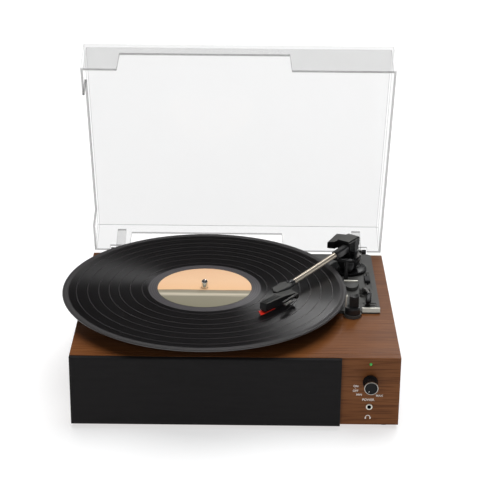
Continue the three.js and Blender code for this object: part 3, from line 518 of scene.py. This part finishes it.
def loft(bm, *rings):
    """Adds a closed body through rings of equally many points, each (x, y, z)."""
    rows = [[bm.verts.new(point) for point in ring] for ring in rings]
    bm.faces.new(rows[0])
    bm.faces.new(rows[-1])
    for low, high in zip(rows, rows[1:]):
        for i in range(len(low)):
            j = (i + 1) % len(low)
            bm.faces.new((low[i], low[j], high[j], high[i]))


def level(outline, z):
    """An outline in X and Y as a ring at one height, or at one height for each point."""
    heights = z if isinstance(z, (list, tuple)) else [z] * len(outline)
    return [(x, y, height) for (x, y), height in zip(outline, heights)]


def shrunk(outline, amount):
    """An outline drawn in towards its middle by an amount."""
    cx = sum(x for x, _ in outline) / len(outline)
    cy = sum(y for _, y in outline) / len(outline)
    size = sum(math.hypot(x - cx, y - cy) for x, y in outline) / len(outline)
    keep = 1 - amount / size
    return [(cx + (x - cx) * keep, cy + (y - cy) * keep) for x, y in outline]


def dome(radius, height, z, step, last):
    """A profile from the top of a dome, standing at z, down to an angle; step is in degrees too."""
    angles = [math.radians(degrees) for degrees in range(step, last + 1, step)]
    return [(0, z + height)] + [(radius * math.sin(a), z + height * math.cos(a)) for a in angles]


def circle(cx, cy, radius, corners):
    return arc_points(cx, cy, radius, 0, 360 * (corners - 1) / corners, corners - 1)


def plate(bm, outline, low, high):
    """Adds a flat plate: an outline between two heights."""
    loft(bm, level(outline, low), level(outline, high))


def upright(bm, outline, front, back):
    """Adds an upright plate: an outline in X and Z between two places along Y."""
    loft(bm, [(x, front, z) for x, z in outline], [(x, back, z) for x, z in outline])


def round_size(node):
    """A round node's radius, and its lowest and highest point above the deck."""
    low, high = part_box(node)
    return (high.x - low.x) / 2 / MM, (low.z - DECK_Z) / MM, (high.z - DECK_Z) / MM


# Cabinet ---------------------------------------------------------------------------------

def cabinet():
    for node in ("top_panel", "front_baffle"):
        refined(node, "wood_x", "wood_veneer", 0.35)
    for node in ("side_panel_left", "side_panel_right"):
        refined(node, "wood_y", "wood_veneer", 0.35)
    refined("rear_panel", "board", "board", 0.2)
    for end in ("front", "rear"):
        for side in ("left", "right"):
            foot(f"foot_{end}_{side}")


def foot(node):
    """A rubber foot with a shallow hollow underneath and a rounded lower edge."""
    low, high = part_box(node)
    middle = (low + high) / 2
    radius, height = (high.x - low.x) / 2 / MM, (high.z - low.z) / MM
    hollow, edge = 0.5, 1.1
    profile = [(0, hollow), (radius - 3.2, hollow), (radius - 2.6, 0)]
    profile += arc_points(radius - edge, edge, edge, -90, 0, 6)
    profile += [(radius - 0.5, height), (0, height)]
    place = Matrix.Translation((middle.x, middle.y, low.z)) @ Matrix.Scale(MM, 4)
    finish(f"{node}_pad", turned(profile, 64), place, "rubber", "rubber", "cabinet", node)


def grille():
    """Black cloth stretched over the frame, wrapped round its four edges."""
    low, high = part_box("grille_cloth")
    width, depth, height = (high - low) / MM
    bend = 1.6
    unevenness, clearance = 0.12, 0.15
    # distance in from an edge of the front, and how far back the cloth has turned there
    turn = [(0.0, depth), (0.0, bend)]
    turn += [(bend - bend * math.cos(a), bend - bend * math.sin(a))
             for a in (math.radians(18 * i) for i in range(1, 6))]

    def across(length, steps):
        """Round one edge, over the flat front in steps, and round the far edge."""
        flat = [(bend + (length - 2 * bend) * i / steps, 0) for i in range(1, steps)]
        return turn + flat + [(length - t, d) for t, d in reversed(turn)]

    bm = bmesh.new()
    grid = []
    for x, back_x in across(width, 60):
        column = []
        for z, back_z in across(height, 20):
            back = max(back_x, back_z)
            pull = unevenness * math.sin(x * 0.9) * math.sin(z * 1.1) if back == 0 else 0
            column.append(bm.verts.new((x, back + clearance + pull, z)))
        grid.append(column)
    for i in range(len(grid) - 1):
        for j in range(len(grid[0]) - 1):
            bm.faces.new((grid[i][j], grid[i + 1][j], grid[i + 1][j + 1], grid[i][j + 1]))
    place = Matrix.Translation(low) @ Matrix.Scale(MM, 4)
    sheet = finish("grille_cloth_stretched", bm, place, "cloth", "grille_cloth", "cabinet",
                   "grille_cloth", smooth=60)


def front_controls():
    power_light()
    jack()
    knob()
    marks()


def control_place(node):
    """A frame on the middle of a control, its Z axis pointing out of the front."""
    low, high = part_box(node)
    middle = ((low + high) / 2 - CORNER) / MM
    return on_front(middle.x, middle.z)


def power_light():
    """A small domed lens on a stem that reaches in through the panel."""
    radius, stem = 1.3, 8
    profile = dome(radius, 0.9, 0, 12, 84) + [(radius, -stem), (0, -stem)]
    finish("power_light_lens", turned(profile, 32), control_place("power_light"), "green",
           "green_lens", "cabinet", "power_light")


def jack():
    """A headphone socket: a dark bore in a bright nut."""
    bore = 2.0
    profile = [(0, -18), (bore, -18), (bore, 0.3)]
    profile += arc_points(bore + 0.45, 0.5, 0.45, 180, 60, 5)
    profile += [(2.75, 0.85), (3.3, 0.5), (3.3, 0.1), (2.9, 0.1), (2.9, -9.3), (4.5, -9.3),
                (4.5, -20), (0, -20)]
    bm = turned(profile, 48)
    for face in bm.faces:
        in_bore = max(v.co.xy.length for v in face.verts) < bore + 0.01
        face.material_index = 1 if in_bore else 0
    finish("headphone_jack_nut", bm, control_place("headphone_jack"), ["silver", "deep"], "chrome",
           "cabinet", "headphone_jack")


def knob():
    """A ribbed knob with a bright ring round its front face and a pointer mark."""
    place = control_place("volume_knob")
    back, bore, bore_end, face = 0.6, 3.3, 13, 15.7
    inside = [(0, bore_end), (bore, bore_end), (bore, back), (7.1, back), (7.5, 1.0)]
    grip = [(7.5, 3.7), (7.2, 4.1), (6.75, 4.4), (6.65, 12.9)]
    rim = [(6.3, 13.2), (6.2, 13.3), (6.2, face), (5.9, 16), (4.6, face + 0.05), (0, face)]
    ribs, rib_height = 30, 0.22

    def ripple(angle, index):
        on_grip = len(inside) <= index < len(inside + grip)
        return rib_height * math.cos(ribs * angle) ** 3 if on_grip else 0

    body = turned(inside + grip + rim, ribs * 8, ripple)
    finish("volume_knob_body", body, place, "deep", "black_plastic", "volume_knob", "volume_knob",
           smooth=40)

    inner, outer, back, front = 6.3, 6.9, 13.8, 15.8
    ring = [(inner, back), (outer, back)] + arc_points(outer - 0.25, front - 0.4, 0.25, 0, 90, 5)
    ring += [(inner + 0.15, front - 0.15), (inner, front - 0.3)]
    finish("volume_knob_ring", turned(ring, 96, closed=True), place, "steel", "chrome",
           "volume_knob", "knob_ring")

    half, start, end, angle = 0.2, 3.5, 5.3, math.radians(-122)
    line = arc_points(start, 0, half, 90, 270) + arc_points(end, 0, half, -90, 90)
    pointer = bmesh.new()
    plate(pointer, line, face, face + 0.1)
    finish("volume_knob_pointer", pointer, place @ Matrix.Rotation(angle, 4, "Z"), "white",
           "white_print", "volume_knob")


def marks():
    """Small printed words beside the controls, and a pair of headphones under the socket."""
    # the word, its name, its place on the front and its letters' size
    words = (("ON", "on", 285.9, 43.4, 3.2), ("/", "slash", 285.6, 40.8, 2.2),
             ("OFF", "off", 285.7, 38.2, 3.2), ("MIN", "min", 289.4, 33.9, 3.3),
             ("MAX", "max", 309.8, 32.9, 3.3), ("POWER", "power", 298.7, 28.2, 3.5))
    for word, name, x, z, size in words:
        place = on_front(x, z) @ Matrix.Translation((0, 0, 0.04))
        finish(f"mark_{name}", word_mesh(word, size, 0.03), place, "white", "white_print", "cabinet")

    thickness = 0.06
    bm = bmesh.new()
    band = arc_points(0, 0, 2.6, 0, 180, 16) + arc_points(0, 0, 1.9, 180, 0, 16)
    plate(bm, band, 0, thickness)
    for side in (-1, 1):
        ear = [(side * x, z) for x, z in ((1.5, -1.7), (3.0, -1.7), (3.1, 0.3), (1.8, 0.3))]
        plate(bm, ear, 0, thickness)
    place = on_front(299, 8.4) @ Matrix.Translation((0, 0, 0.01))
    finish("mark_headphones", bm, place, "white", "white_print", "cabinet")


def word_mesh(word, size, half):
    """A word as a thin mesh; half is half its thickness, and widens its strokes by as much."""
    curve = bpy.data.curves.new("mark", "FONT")
    curve.body = word
    curve.size = size
    curve.align_x = "CENTER"
    curve.align_y = "CENTER"
    curve.extrude = half
    curve.offset = half
    text = bpy.data.objects.new("mark", curve)
    bpy.context.scene.collection.objects.link(text)
    bpy.context.view_layer.update()
    evaluated = text.evaluated_get(bpy.context.evaluated_depsgraph_get())
    bm = bmesh.new()
    bm.from_mesh(bpy.data.meshes.new_from_object(evaluated))
    bpy.data.objects.remove(text)
    return bm


# Turntable -------------------------------------------------------------------------------

HOLE_RADIUS = 3.75
LABEL_RADIUS = 50.3
RUN_OUT_RADIUS = 60.0
TRACK_GAPS = (66.5, 79, 91, 101.5, 112.5, 124, 136)     # radii of the smooth gaps between tracks


def turntable():
    record()
    record_label()
    slip_mat()
    platter()
    spindle()


def record():
    """A long-playing record: raised bead, grooved band with track gaps, run-out and label land."""
    radius, bottom, top = round_size("record")
    hole, label, run_out = HOLE_RADIUS, LABEL_RADIUS, RUN_OUT_RADIUS
    land, sunk = top - 0.3, top - 0.35
    grooves, wax, gap, rim = range(4)
    upper = [(hole, land, grooves), (label, land, grooves), (label + 0.4, top - 0.1, wax),
             (label + 2, top - 0.12, wax), (run_out - 1, sunk, wax), (run_out, sunk, wax)]
    for middle in TRACK_GAPS:
        upper += [(middle - 0.42, sunk, grooves), (middle - 0.38, sunk - 0.05, gap),
                  (middle + 0.38, sunk - 0.05, gap), (middle + 0.42, sunk, gap)]
    upper += [(radius - 6.5, sunk, grooves), (radius - 4.4, sunk + 0.03, rim),
              (radius - 3.6, sunk + 0.24, rim), (radius - 2.4, top - 0.02, rim),
              (radius - 1.2, top - 0.1, rim)]
    edge = [(radius - 1.0 + r, (top + bottom) / 2 + z, rim)
            for r, z in arc_points(0, 0, 1.0, 75, -75, 8)]
    lower = [(radius - 2.4, bottom, rim), (radius - 4.2, bottom + 0.33, rim),
             (run_out, bottom + 0.35, grooves), (label + 8, bottom, wax), (hole, bottom, wax)]
    rows = upper + edge + lower
    segments = 256
    bm = turned([(r, z) for r, z, _ in rows], segments, closed=True)
    # a face takes the finish of the profile stretch that ends at its second row
    for index, face in enumerate(bm.faces):
        face.material_index = rows[(index // segments + 1) % len(rows)][2]
    # The run-out, track gaps and bead take paler vinyls than the grooves: painted sheen.
    finish("record_grooved", bm, TURNING, ["grooves", "wax", "gap", "rim"], "vinyl", "platter",
           "record", smooth=25)


def record_label():
    """A paper ring with a pressed circle round the hole."""
    top = round_size("record")[2]
    outer, under, circle_radius = LABEL_RADIUS - 0.3, top - 0.2, 15.0
    ring = [(HOLE_RADIUS, under), (HOLE_RADIUS, top - 0.02), (HOLE_RADIUS + 0.4, top),
            (circle_radius - 0.4, top), (circle_radius, top - 0.07), (circle_radius + 0.4, top),
            (outer - 0.4, top), (outer, top - 0.1), (outer, under)]
    finish("record_label_paper", turned(ring, 160, closed=True), TURNING, "label", "label_paper",
           "platter", "record_label", smooth=25)


def slip_mat():
    radius, bottom, top = round_size("slip_mat")
    bore = 14.4
    profile = [(bore, bottom), (radius - 0.3, bottom), (radius, bottom + 0.4), (radius, top - 0.5),
               (radius - 0.5, top), (bore + 0.4, top), (bore, top - 0.4)]
    finish("slip_mat_felt", turned(profile, 160, closed=True), TURNING, "felt", "felt", "platter",
           "slip_mat")


def platter():
    """A cast disc with a wall for the belt under it and a groove round its rim."""
    radius, _, top = round_size("platter")
    bore, under, belt, wall = 7.3, 5, 60, 4
    inside, web = radius - wall, top - 3
    profile = [(bore, 9), (13, 9), (14, web), (belt - wall, web), (belt - wall, under), (belt, under),
               (belt, web), (inside, web), (inside, under + 0.4), (inside + 0.4, under)]
    profile += [(radius - 0.8, under)] + arc_points(radius - 0.8, under + 0.8, 0.8, -90, 0, 4)
    profile += [(radius, 7.6), (radius - 0.4, 7.9), (radius - 0.4, 8.5), (radius, 8.8)]
    profile += arc_points(radius - 1.2, top - 1.2, 1.2, 0, 90, 5)
    profile += [(14, top), (12, top - 2), (bore, top - 2)]
    finish("platter_turned", turned(profile, 192, closed=True), TURNING, "aluminium", "aluminium",
           "platter", "platter")


def spindle():
    """A round-ended pin with the clip's groove in it."""
    radius, groove, journal, end = 3.5, 2.8, 3.35, -9.8
    shaft = [(radius, 12.4), (groove, 12.2), (groove, 11.4), (radius, 11.2), (radius, 3.8),
             (journal, 2), (journal, end), (0, end)]
    profile = dome(radius, 3.3, 22.9, 10, 90) + shaft
    finish("spindle_rounded", turned(profile, 64), TURNING, "chrome", "chrome", "cabinet",
           "spindle")


# Deck ------------------------------------------------------------------------------------

def deck():
    refined("deck_plate", "deck", "black_plastic", 0.25)
    refined("front_bar", "silver", "silver_metal", 0.2)
    refined("pad_bar", "silver", "silver_metal", 0.25)
    refined("speed_slider", "black", "black_plastic", 0.12)
    refined("autostop_slider", "rubber", "black_plastic", 0.15)
    refined("cue_platform", "black", "black_plastic", 0.3)
    arm_rest()
    cue_lever()
    for number in (1, 2):
        refined(f"deck_screw_{number}", "dark_steel", "silver_metal", 0.15)


def arm_rest():
    """A round foot, a column with a ribbed front and a saddle on top, and a bright clip."""
    radius = 8.1
    corner = (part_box("arm_rest")[0] - DECK_CORNER) / MM
    here = DECK @ Matrix.Translation((corner.x + radius, corner.y + radius, 0))
    foot_bottom, foot_top, rounding = 3.6, 10.8, 0.8
    foot = [(0, foot_bottom), (radius, foot_bottom), (radius, 9.2), (radius - 0.25, 9.5),
            (radius - 0.25, 9.9)]
    foot += arc_points(radius - 1.1, foot_top - rounding, rounding, 0, 90, 5) + [(0, foot_top)]
    finish("arm_rest_foot", turned(foot, 72), here, "black", "black_plastic", "cabinet", "arm_rest")

    left, right, front, back, bottom, top = -3.6, 6, -2.2, 5.2, 10.4, 23.2
    saddle_x, saddle_half, saddle_depth = 1.2, 3.4, 1.1
    saddle = [(x, top - saddle_depth * max(0, 1 - ((x - saddle_x) / saddle_half) ** 2))
              for x in (left + (right - left) * i / 12 for i in range(13))]
    bm = bmesh.new()
    upright(bm, [(left, bottom)] + saddle + [(right, bottom)], front, back)
    half, pitch, inset = 0.4, 1.3, 0.4
    for z in (bottom + 1 + pitch * k for k in range(9)):
        rib = [(right - inset, z - half), (right - inset, z + half), (left + inset, z + half),
               (left + inset, z - half)]
        upright(bm, rib, front - 0.75, front + 0.2)
    # The column's top faces take a paler black: painted sheen.
    column = finish("arm_rest_column", bm, here, ["black", "painted_satin_sheen"], "black_plastic", "cabinet")
    soften(paint_sheen_on_tops(column, least=0.9), 0.15)

    bm = bmesh.new()
    clip = [(-8, 10.6), (-6.9, 10.6), (-6.7, 21.4), (-5.6, 23), (-6.2, 23.4), (-7.6, 22)]
    upright(bm, clip, -1.6, 3.2)
    soften(finish("arm_rest_clip", bm, here, "silver", "silver_metal", "cabinet"), 0.15)


def cue_lever():
    """A bent steel bar on an axle, with a black handle on its front end."""
    axle = (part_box("cue_lever")[1].y - DECK_CORNER.y) / MM - 3
    bm = bmesh.new()
    bar = [(301.3, axle + 1), (304.3, axle + 1), (308.4, 134.4), (308.2, 126), (304, 126),
           (305.3, 133.6)]
    plate(bm, bar, 8.2, 10.4)
    soften(finish("cue_lever_bar", bm, DECK, "dark_steel", "silver_metal", "cue_lever"), 0.45, 3)

    across = DECK @ Matrix.Translation((300.3, axle, 6.8)) @ Matrix.Rotation(math.pi / 2, 4, "Y")
    hub = [(0, -2.4), (1.5, -2.4), (1.5, 0), (2.6, 0), (3, 0.4), (3, 5), (2.6, 5.4), (1.5, 5.4),
           (1.5, 7.8), (0, 7.8)]
    finish("cue_lever_hub", turned(hub, 40), across, "dark_steel", "silver_metal", "cue_lever",
           "cue_lever")

    # the handle's sections from back to front: y, left, right, bottom and top
    sections = ((133.8, 305.2, 308.9, 9.6, 10.8), (132.5, 304.3, 309.4, 7.6, 11.6),
                (124, 302.9, 308.4, 7.4, 11.4), (113, 301.7, 307.1, 7.6, 11),
                (111.2, 302.3, 306.4, 8.4, 10.2))
    bm = bmesh.new()
    loft(bm, *[[(left, y, bottom), (right, y, bottom), (right, y, top - 1), (right - 1.2, y, top),
                (left + 1.2, y, top), (left, y, top - 1)] for y, left, right, bottom, top in sections])
    soften(finish("cue_lever_handle", bm, DECK, "deep", "black_plastic", "cue_lever"), 0.4, 3)


# Tonearm ---------------------------------------------------------------------------------
# In the ARM frame X runs from the pivot along the tube, and Y towards the cabinet's front right.

CROSS_PIN_Z = 24.5
HEAD_TOP = 39.2
HEAD_BLOCK = ((6.8, -11.3), (6.8, 3.8), (-16.9, 3.8), (-16.9, -11.3))
HEAD_WING = ((6.8, -11.3), (10.8, -12), (14.2, -19.3), (-13.1, -24.2), (-16.9, -11.3))
TUBE_AXIS = ARM @ Matrix.Translation((0, 0, 31.6)) @ Matrix.Rotation(math.radians(2.02), 4, "Y")
ALONG_TUBE = TUBE_AXIS @ Matrix.Rotation(math.pi / 2, 4, "Y")      # its Z axis is the tube's


def tonearm():
    arm_base()
    yoke()
    head()
    tube()
    wand()
    headshell()
    finger_lift()
    refined("cartridge", "black", "black_plastic", 0.2)
    refined("stylus", "red", "red_plastic", 0.12)


def arm_base():
    """The fixed disc under the bowl."""
    bore, bottom = 3.7, 3.6
    profile = [(bore, bottom), (20.6, bottom)] + arc_points(19.7, 5.6, 0.9, 0, 90, 5)
    profile += [(18.4, 6.2), (17.4, 6.5), (9.5, 6.5), (9.4, 6.7), (bore, 6.7)]
    # The disc takes the deepest, least glossy black: painted shade standing in for the head's shadow
    # over it.
    finish("tonearm_base_disc", turned(profile, 128, closed=True), ARM, "deep", "black_plastic",
           "cabinet", "tonearm_base")


def yoke():
    """The bowl that turns on the base, the cheeks of the hinge, the bowl's shield and the pin."""
    bowl = [(0, -13), (3.2, -13), (3.2, 7.2), (8.6, 7.2), (9.6, 7.8), (10.6, 9.4), (12.6, 13.4),
            (14, 17.2), (14.6, 18.6), (14.75, 19.4), (14.4, 20), (13.5, 20), (13, 19.6), (12.4, 17.5),
            (11, 15.4), (9, 14), (0, 14)]
    finish("yoke_bowl", turned(bowl, 96), ARM, "black", "black_plastic", "arm_yoke", "tonearm_yoke")

    half, bottom, inner, outer = 4, 13, 9.5, 12.1
    cheek = [(-half, bottom), (half, bottom), (half, CROSS_PIN_Z)]
    cheek += arc_points(0, CROSS_PIN_Z, half, 15, 180, 11)
    bm = bmesh.new()
    upright(bm, cheek, -outer, -inner)
    upright(bm, cheek, inner, outer)
    soften(finish("yoke_cheeks", bm, ARM, "black", "black_plastic", "arm_yoke"), 0.5, 3)

    # the shield's sections from the bottom up: z, inner and outer distance, and half its width
    sections = ((7.6, 13.6, 16.2, 1.6), (8.8, 13, 17.8, 3.2), (11, 12.5, 18.2, 4.4),
                (14, 12.5, 17.2, 5.1), (16.6, 12.5, 16.4, 5.2), (17.6, 12.5, 15.6, 4.9))
    bm = bmesh.new()
    loft(bm, *[[(inner, -half, z), (outer - 1.2, -half, z), (outer, -half * 0.55, z),
                (outer + 0.2, 0, z), (outer, half * 0.55, z), (outer - 1.2, half, z), (inner, half, z)]
               for z, inner, outer, half in sections])
    place = ARM @ Matrix.Rotation(math.radians(35), 4, "Z")
    soften(finish("yoke_shield", bm, place, "black", "black_plastic", "arm_yoke"), 0.5, 3)

    radius, start, cap = 1.5, -12.7, 12.3
    pin = [(0, start), (radius, start), (radius, cap), (2.9, cap), (3.1, cap + 0.2), (3, cap + 0.6),
           (2.2, cap + 0.9), (0, cap + 1)]
    place = ARM @ Matrix.Translation((0, 0, CROSS_PIN_Z)) @ Matrix.Rotation(-math.pi / 2, 4, "X")
    finish("cross_pin_turned", turned(pin, 40), place, "dark_steel", "silver_metal", "arm_yoke",
           "cross_pin")


def head():
    """The angular head at the pivot end: a main block, a lower wing and a ribbed core under both."""
    bm = bmesh.new()
    loft(bm, level(HEAD_BLOCK, 29.4), level(HEAD_BLOCK, HEAD_TOP - 1.1),
         level(shrunk(HEAD_BLOCK, 1.2), HEAD_TOP))
    wing_top = [HEAD_TOP - drop for drop in (1.6, 1.8, 2.6, 2.2, 1.5)]
    loft(bm, level(shrunk(HEAD_WING, 2), 28.6), level(HEAD_WING, 29.6),
         level(HEAD_WING, [z - 0.8 for z in wing_top]), level(shrunk(HEAD_WING, 0.9), wing_top))

    # the core's underside rises towards the rear, so that it clears the bowl when the arm lifts
    ahead, behind, right, left = 5.4, -13.8, 4.7, -8.4
    core = [(ahead, left), (ahead, right), (behind, right), (behind, left)]
    low, high, slope = 20.6, 24.4, 0.2
    loft(bm, level(core, (low, low, high, high)), level(core, HEAD_TOP - 1.6))
    rib_radius, pitch = 0.8, 2.4
    ribs = [(ahead - 0.9 - pitch * k, right) for k in range(5)] + [(ahead, 3.4), (ahead, 0.9)]
    for x, y in ribs:
        rib = circle(x, y, rib_radius, 10)
        plate(bm, rib, low + 0.6 + slope * (ahead - x), HEAD_TOP - 1.8)
    # Sides in the deepest black and upward faces in a paler one: painted sheen on the tops.
    block = finish("tonearm_head_block", bm, ARM, ["deep", "painted_sheen"], "black_plastic", "arm",
                   "tonearm_head")
    soften(paint_sheen_on_tops(block), 0.3)
    collar()


def collar():
    """The square sleeve that holds the tube, drawn in at its front end."""
    section = [(-4, -3.9), (4, -3.9), (4, 2.4), (2.5, 3.9), (-2.5, 3.9), (-4, 2.4)]
    start, shoulder, end, drawn_in = 4, 28.4, 29.4, 0.86
    bm = bmesh.new()
    loft(bm, [(start, y, z) for y, z in section], [(shoulder, y, z) for y, z in section],
         [(end, y * drawn_in, z * drawn_in) for y, z in section])
    # The sleeve's top faces take a paler black: painted sheen.
    sleeve = finish("tonearm_collar", bm, TUBE_AXIS, ["black", "painted_satin_sheen"], "black_plastic", "arm")
    soften(paint_sheen_on_tops(sleeve, least=0.95), 0.2)


def tube():
    """The aluminium arm tube, which ends in the ferrule."""
    inner, outer, start, end = 2.25, 2.85, 12.4, 118.7
    profile = [(inner, start), (outer, start), (outer, end), (inner, end)]
    finish("tonearm_tube_turned", turned(profile, 64, closed=True), ALONG_TUBE, "tube",
           "aluminium", "arm", "tonearm_tube")


def wand():
    """The ferrule on the tube's end and the flat plate that the headshell hangs from."""
    bore, waist, ring, end = 3.15, 3.6, 3.85, 121.4
    ferrule = [(bore, 111.5), (waist, 111.5), (ring, 111.8), (ring, 114.4), (waist, 114.7),
               (waist, 115.3), (ring, 115.6), (ring, 120.8), (3.4, end), (0, end), (0, 119.2),
               (bore, 119.2)]
    finish("tube_ferrule", turned(ferrule, 48, closed=True), ALONG_TUBE, "black", "black_plastic",
           "arm", "wand_plate")
    plan = [(118.6, -3.6), (124.2, -7), (141, -6.4), (146.8, -1), (146.8, 3.9), (124, 6.2),
            (118.6, 3.4)]
    bm = bmesh.new()
    loft(bm, level(shrunk(plan, 0.6), 27.2), level(plan, 27.6), level(plan, 30),
         level(shrunk(plan, 0.4), 30.4))
    # The plate's top faces take a paler black: painted sheen.
    paint_sheen_on_tops(finish("wand_plate_top", bm, ARM, ["black", "painted_sheen"], "black_plastic", "arm"))


def headshell():
    """The CAD ridge with a paler top, painted sheen, which carries three fine ribs along its length."""
    paint_sheen_on_tops(refined("headshell", ["black", "painted_sheen"], "black_plastic", 0.3), least=0.9)
    back, front, half = 152, 177.6, 0.35
    bm = bmesh.new()
    for y_back, y_front in ((4.9, 4.7), (8.2, 6.9), (11.5, 9.1)):
        rib = [(back, y_back - half), (back, y_back + half), (front, y_front + half),
               (front, y_front - half)]
        loft(bm, level(rib, 29.7), level(shrunk(rib, 0.12), 30.15))
    finish("headshell_ribs", bm, ARM, "black", "black_plastic", "arm")


def finger_lift():
    """A dark bar beside the headshell, with a short bright ribbed rest for the finger."""
    refined("finger_lift", "dark_steel", "silver_metal", 0.2)
    start, pitch, inner, outer = 149.2, 2, 21.2, 24.3
    bm = bmesh.new()
    for x in (start + pitch * k for k in range(6)):
        rib = [(x, inner), (x + 1.1, inner), (x + 1.2, outer), (x + 0.1, outer)]
        loft(bm, level(rib, 26.2), level(shrunk(rib, 0.2), 26.8))
    finish("finger_rest_ribs", bm, ARM, "steel", "silver_metal", "arm")


# Dust cover ------------------------------------------------------------------------------

def clear_part(node, width):
    """An acrylic part whose cut rims and rounded edges show as grey lines, painted shade for the light
    bent at its edges.
    """
    piece = refined(node, ["acrylic", "acrylic_edge_painted_shade"], "clear_acrylic", width)
    narrow = 1.4 * MM                              # area over perimeter of the widest cut rim
    edge_material = 1
    places = [vertex.co for vertex in piece.data.vertices]
    for face in piece.data.polygons:
        around = sum((places[a] - places[b]).length for a, b in face.edge_keys)
        if face.area / around < narrow:
            face.material_index = edge_material
    piece.modifiers["rounded_edges"].material = edge_material


def dust_cover():
    clear_part("dust_cover", 0.3)
    for side in ("left", "right"):
        clear_part(f"hinge_leaf_{side}", 0.25)
        refined(f"hinge_bracket_{side}", "matte", "matte_black", 0.3)


# Inside ----------------------------------------------------------------------------------

def inner_parts():
    """The bottom, the grille's board and the parts inside keep their CAD shape and take a finish."""
    looks = {
        "bottom_panel": "board", "grille_frame": "matte", "speaker_left": "steel",
        "speaker_right": "steel", "speaker_cone_left": "cone", "speaker_cone_right": "cone",
        "potentiometer": "steel", "knob_shaft": "steel", "amplifier_board": "circuit",
        "line_out_jacks": "brass", "power_inlet": "matte", "platter_bush": "brass",
        "platter_clip": "steel", "motor": "steel", "motor_pulley": "brass", "drive_belt": "rubber",
    }
    for node, look in looks.items():
        mesh = frame["nodes"][node].data
        mesh.materials.clear()
        mesh.materials.append(LOOK[look])


make_camera()
make_studio()
LOOK = make_materials()
cabinet()
grille()
front_controls()
turntable()
deck()
tonearm()
dust_cover()
inner_parts()
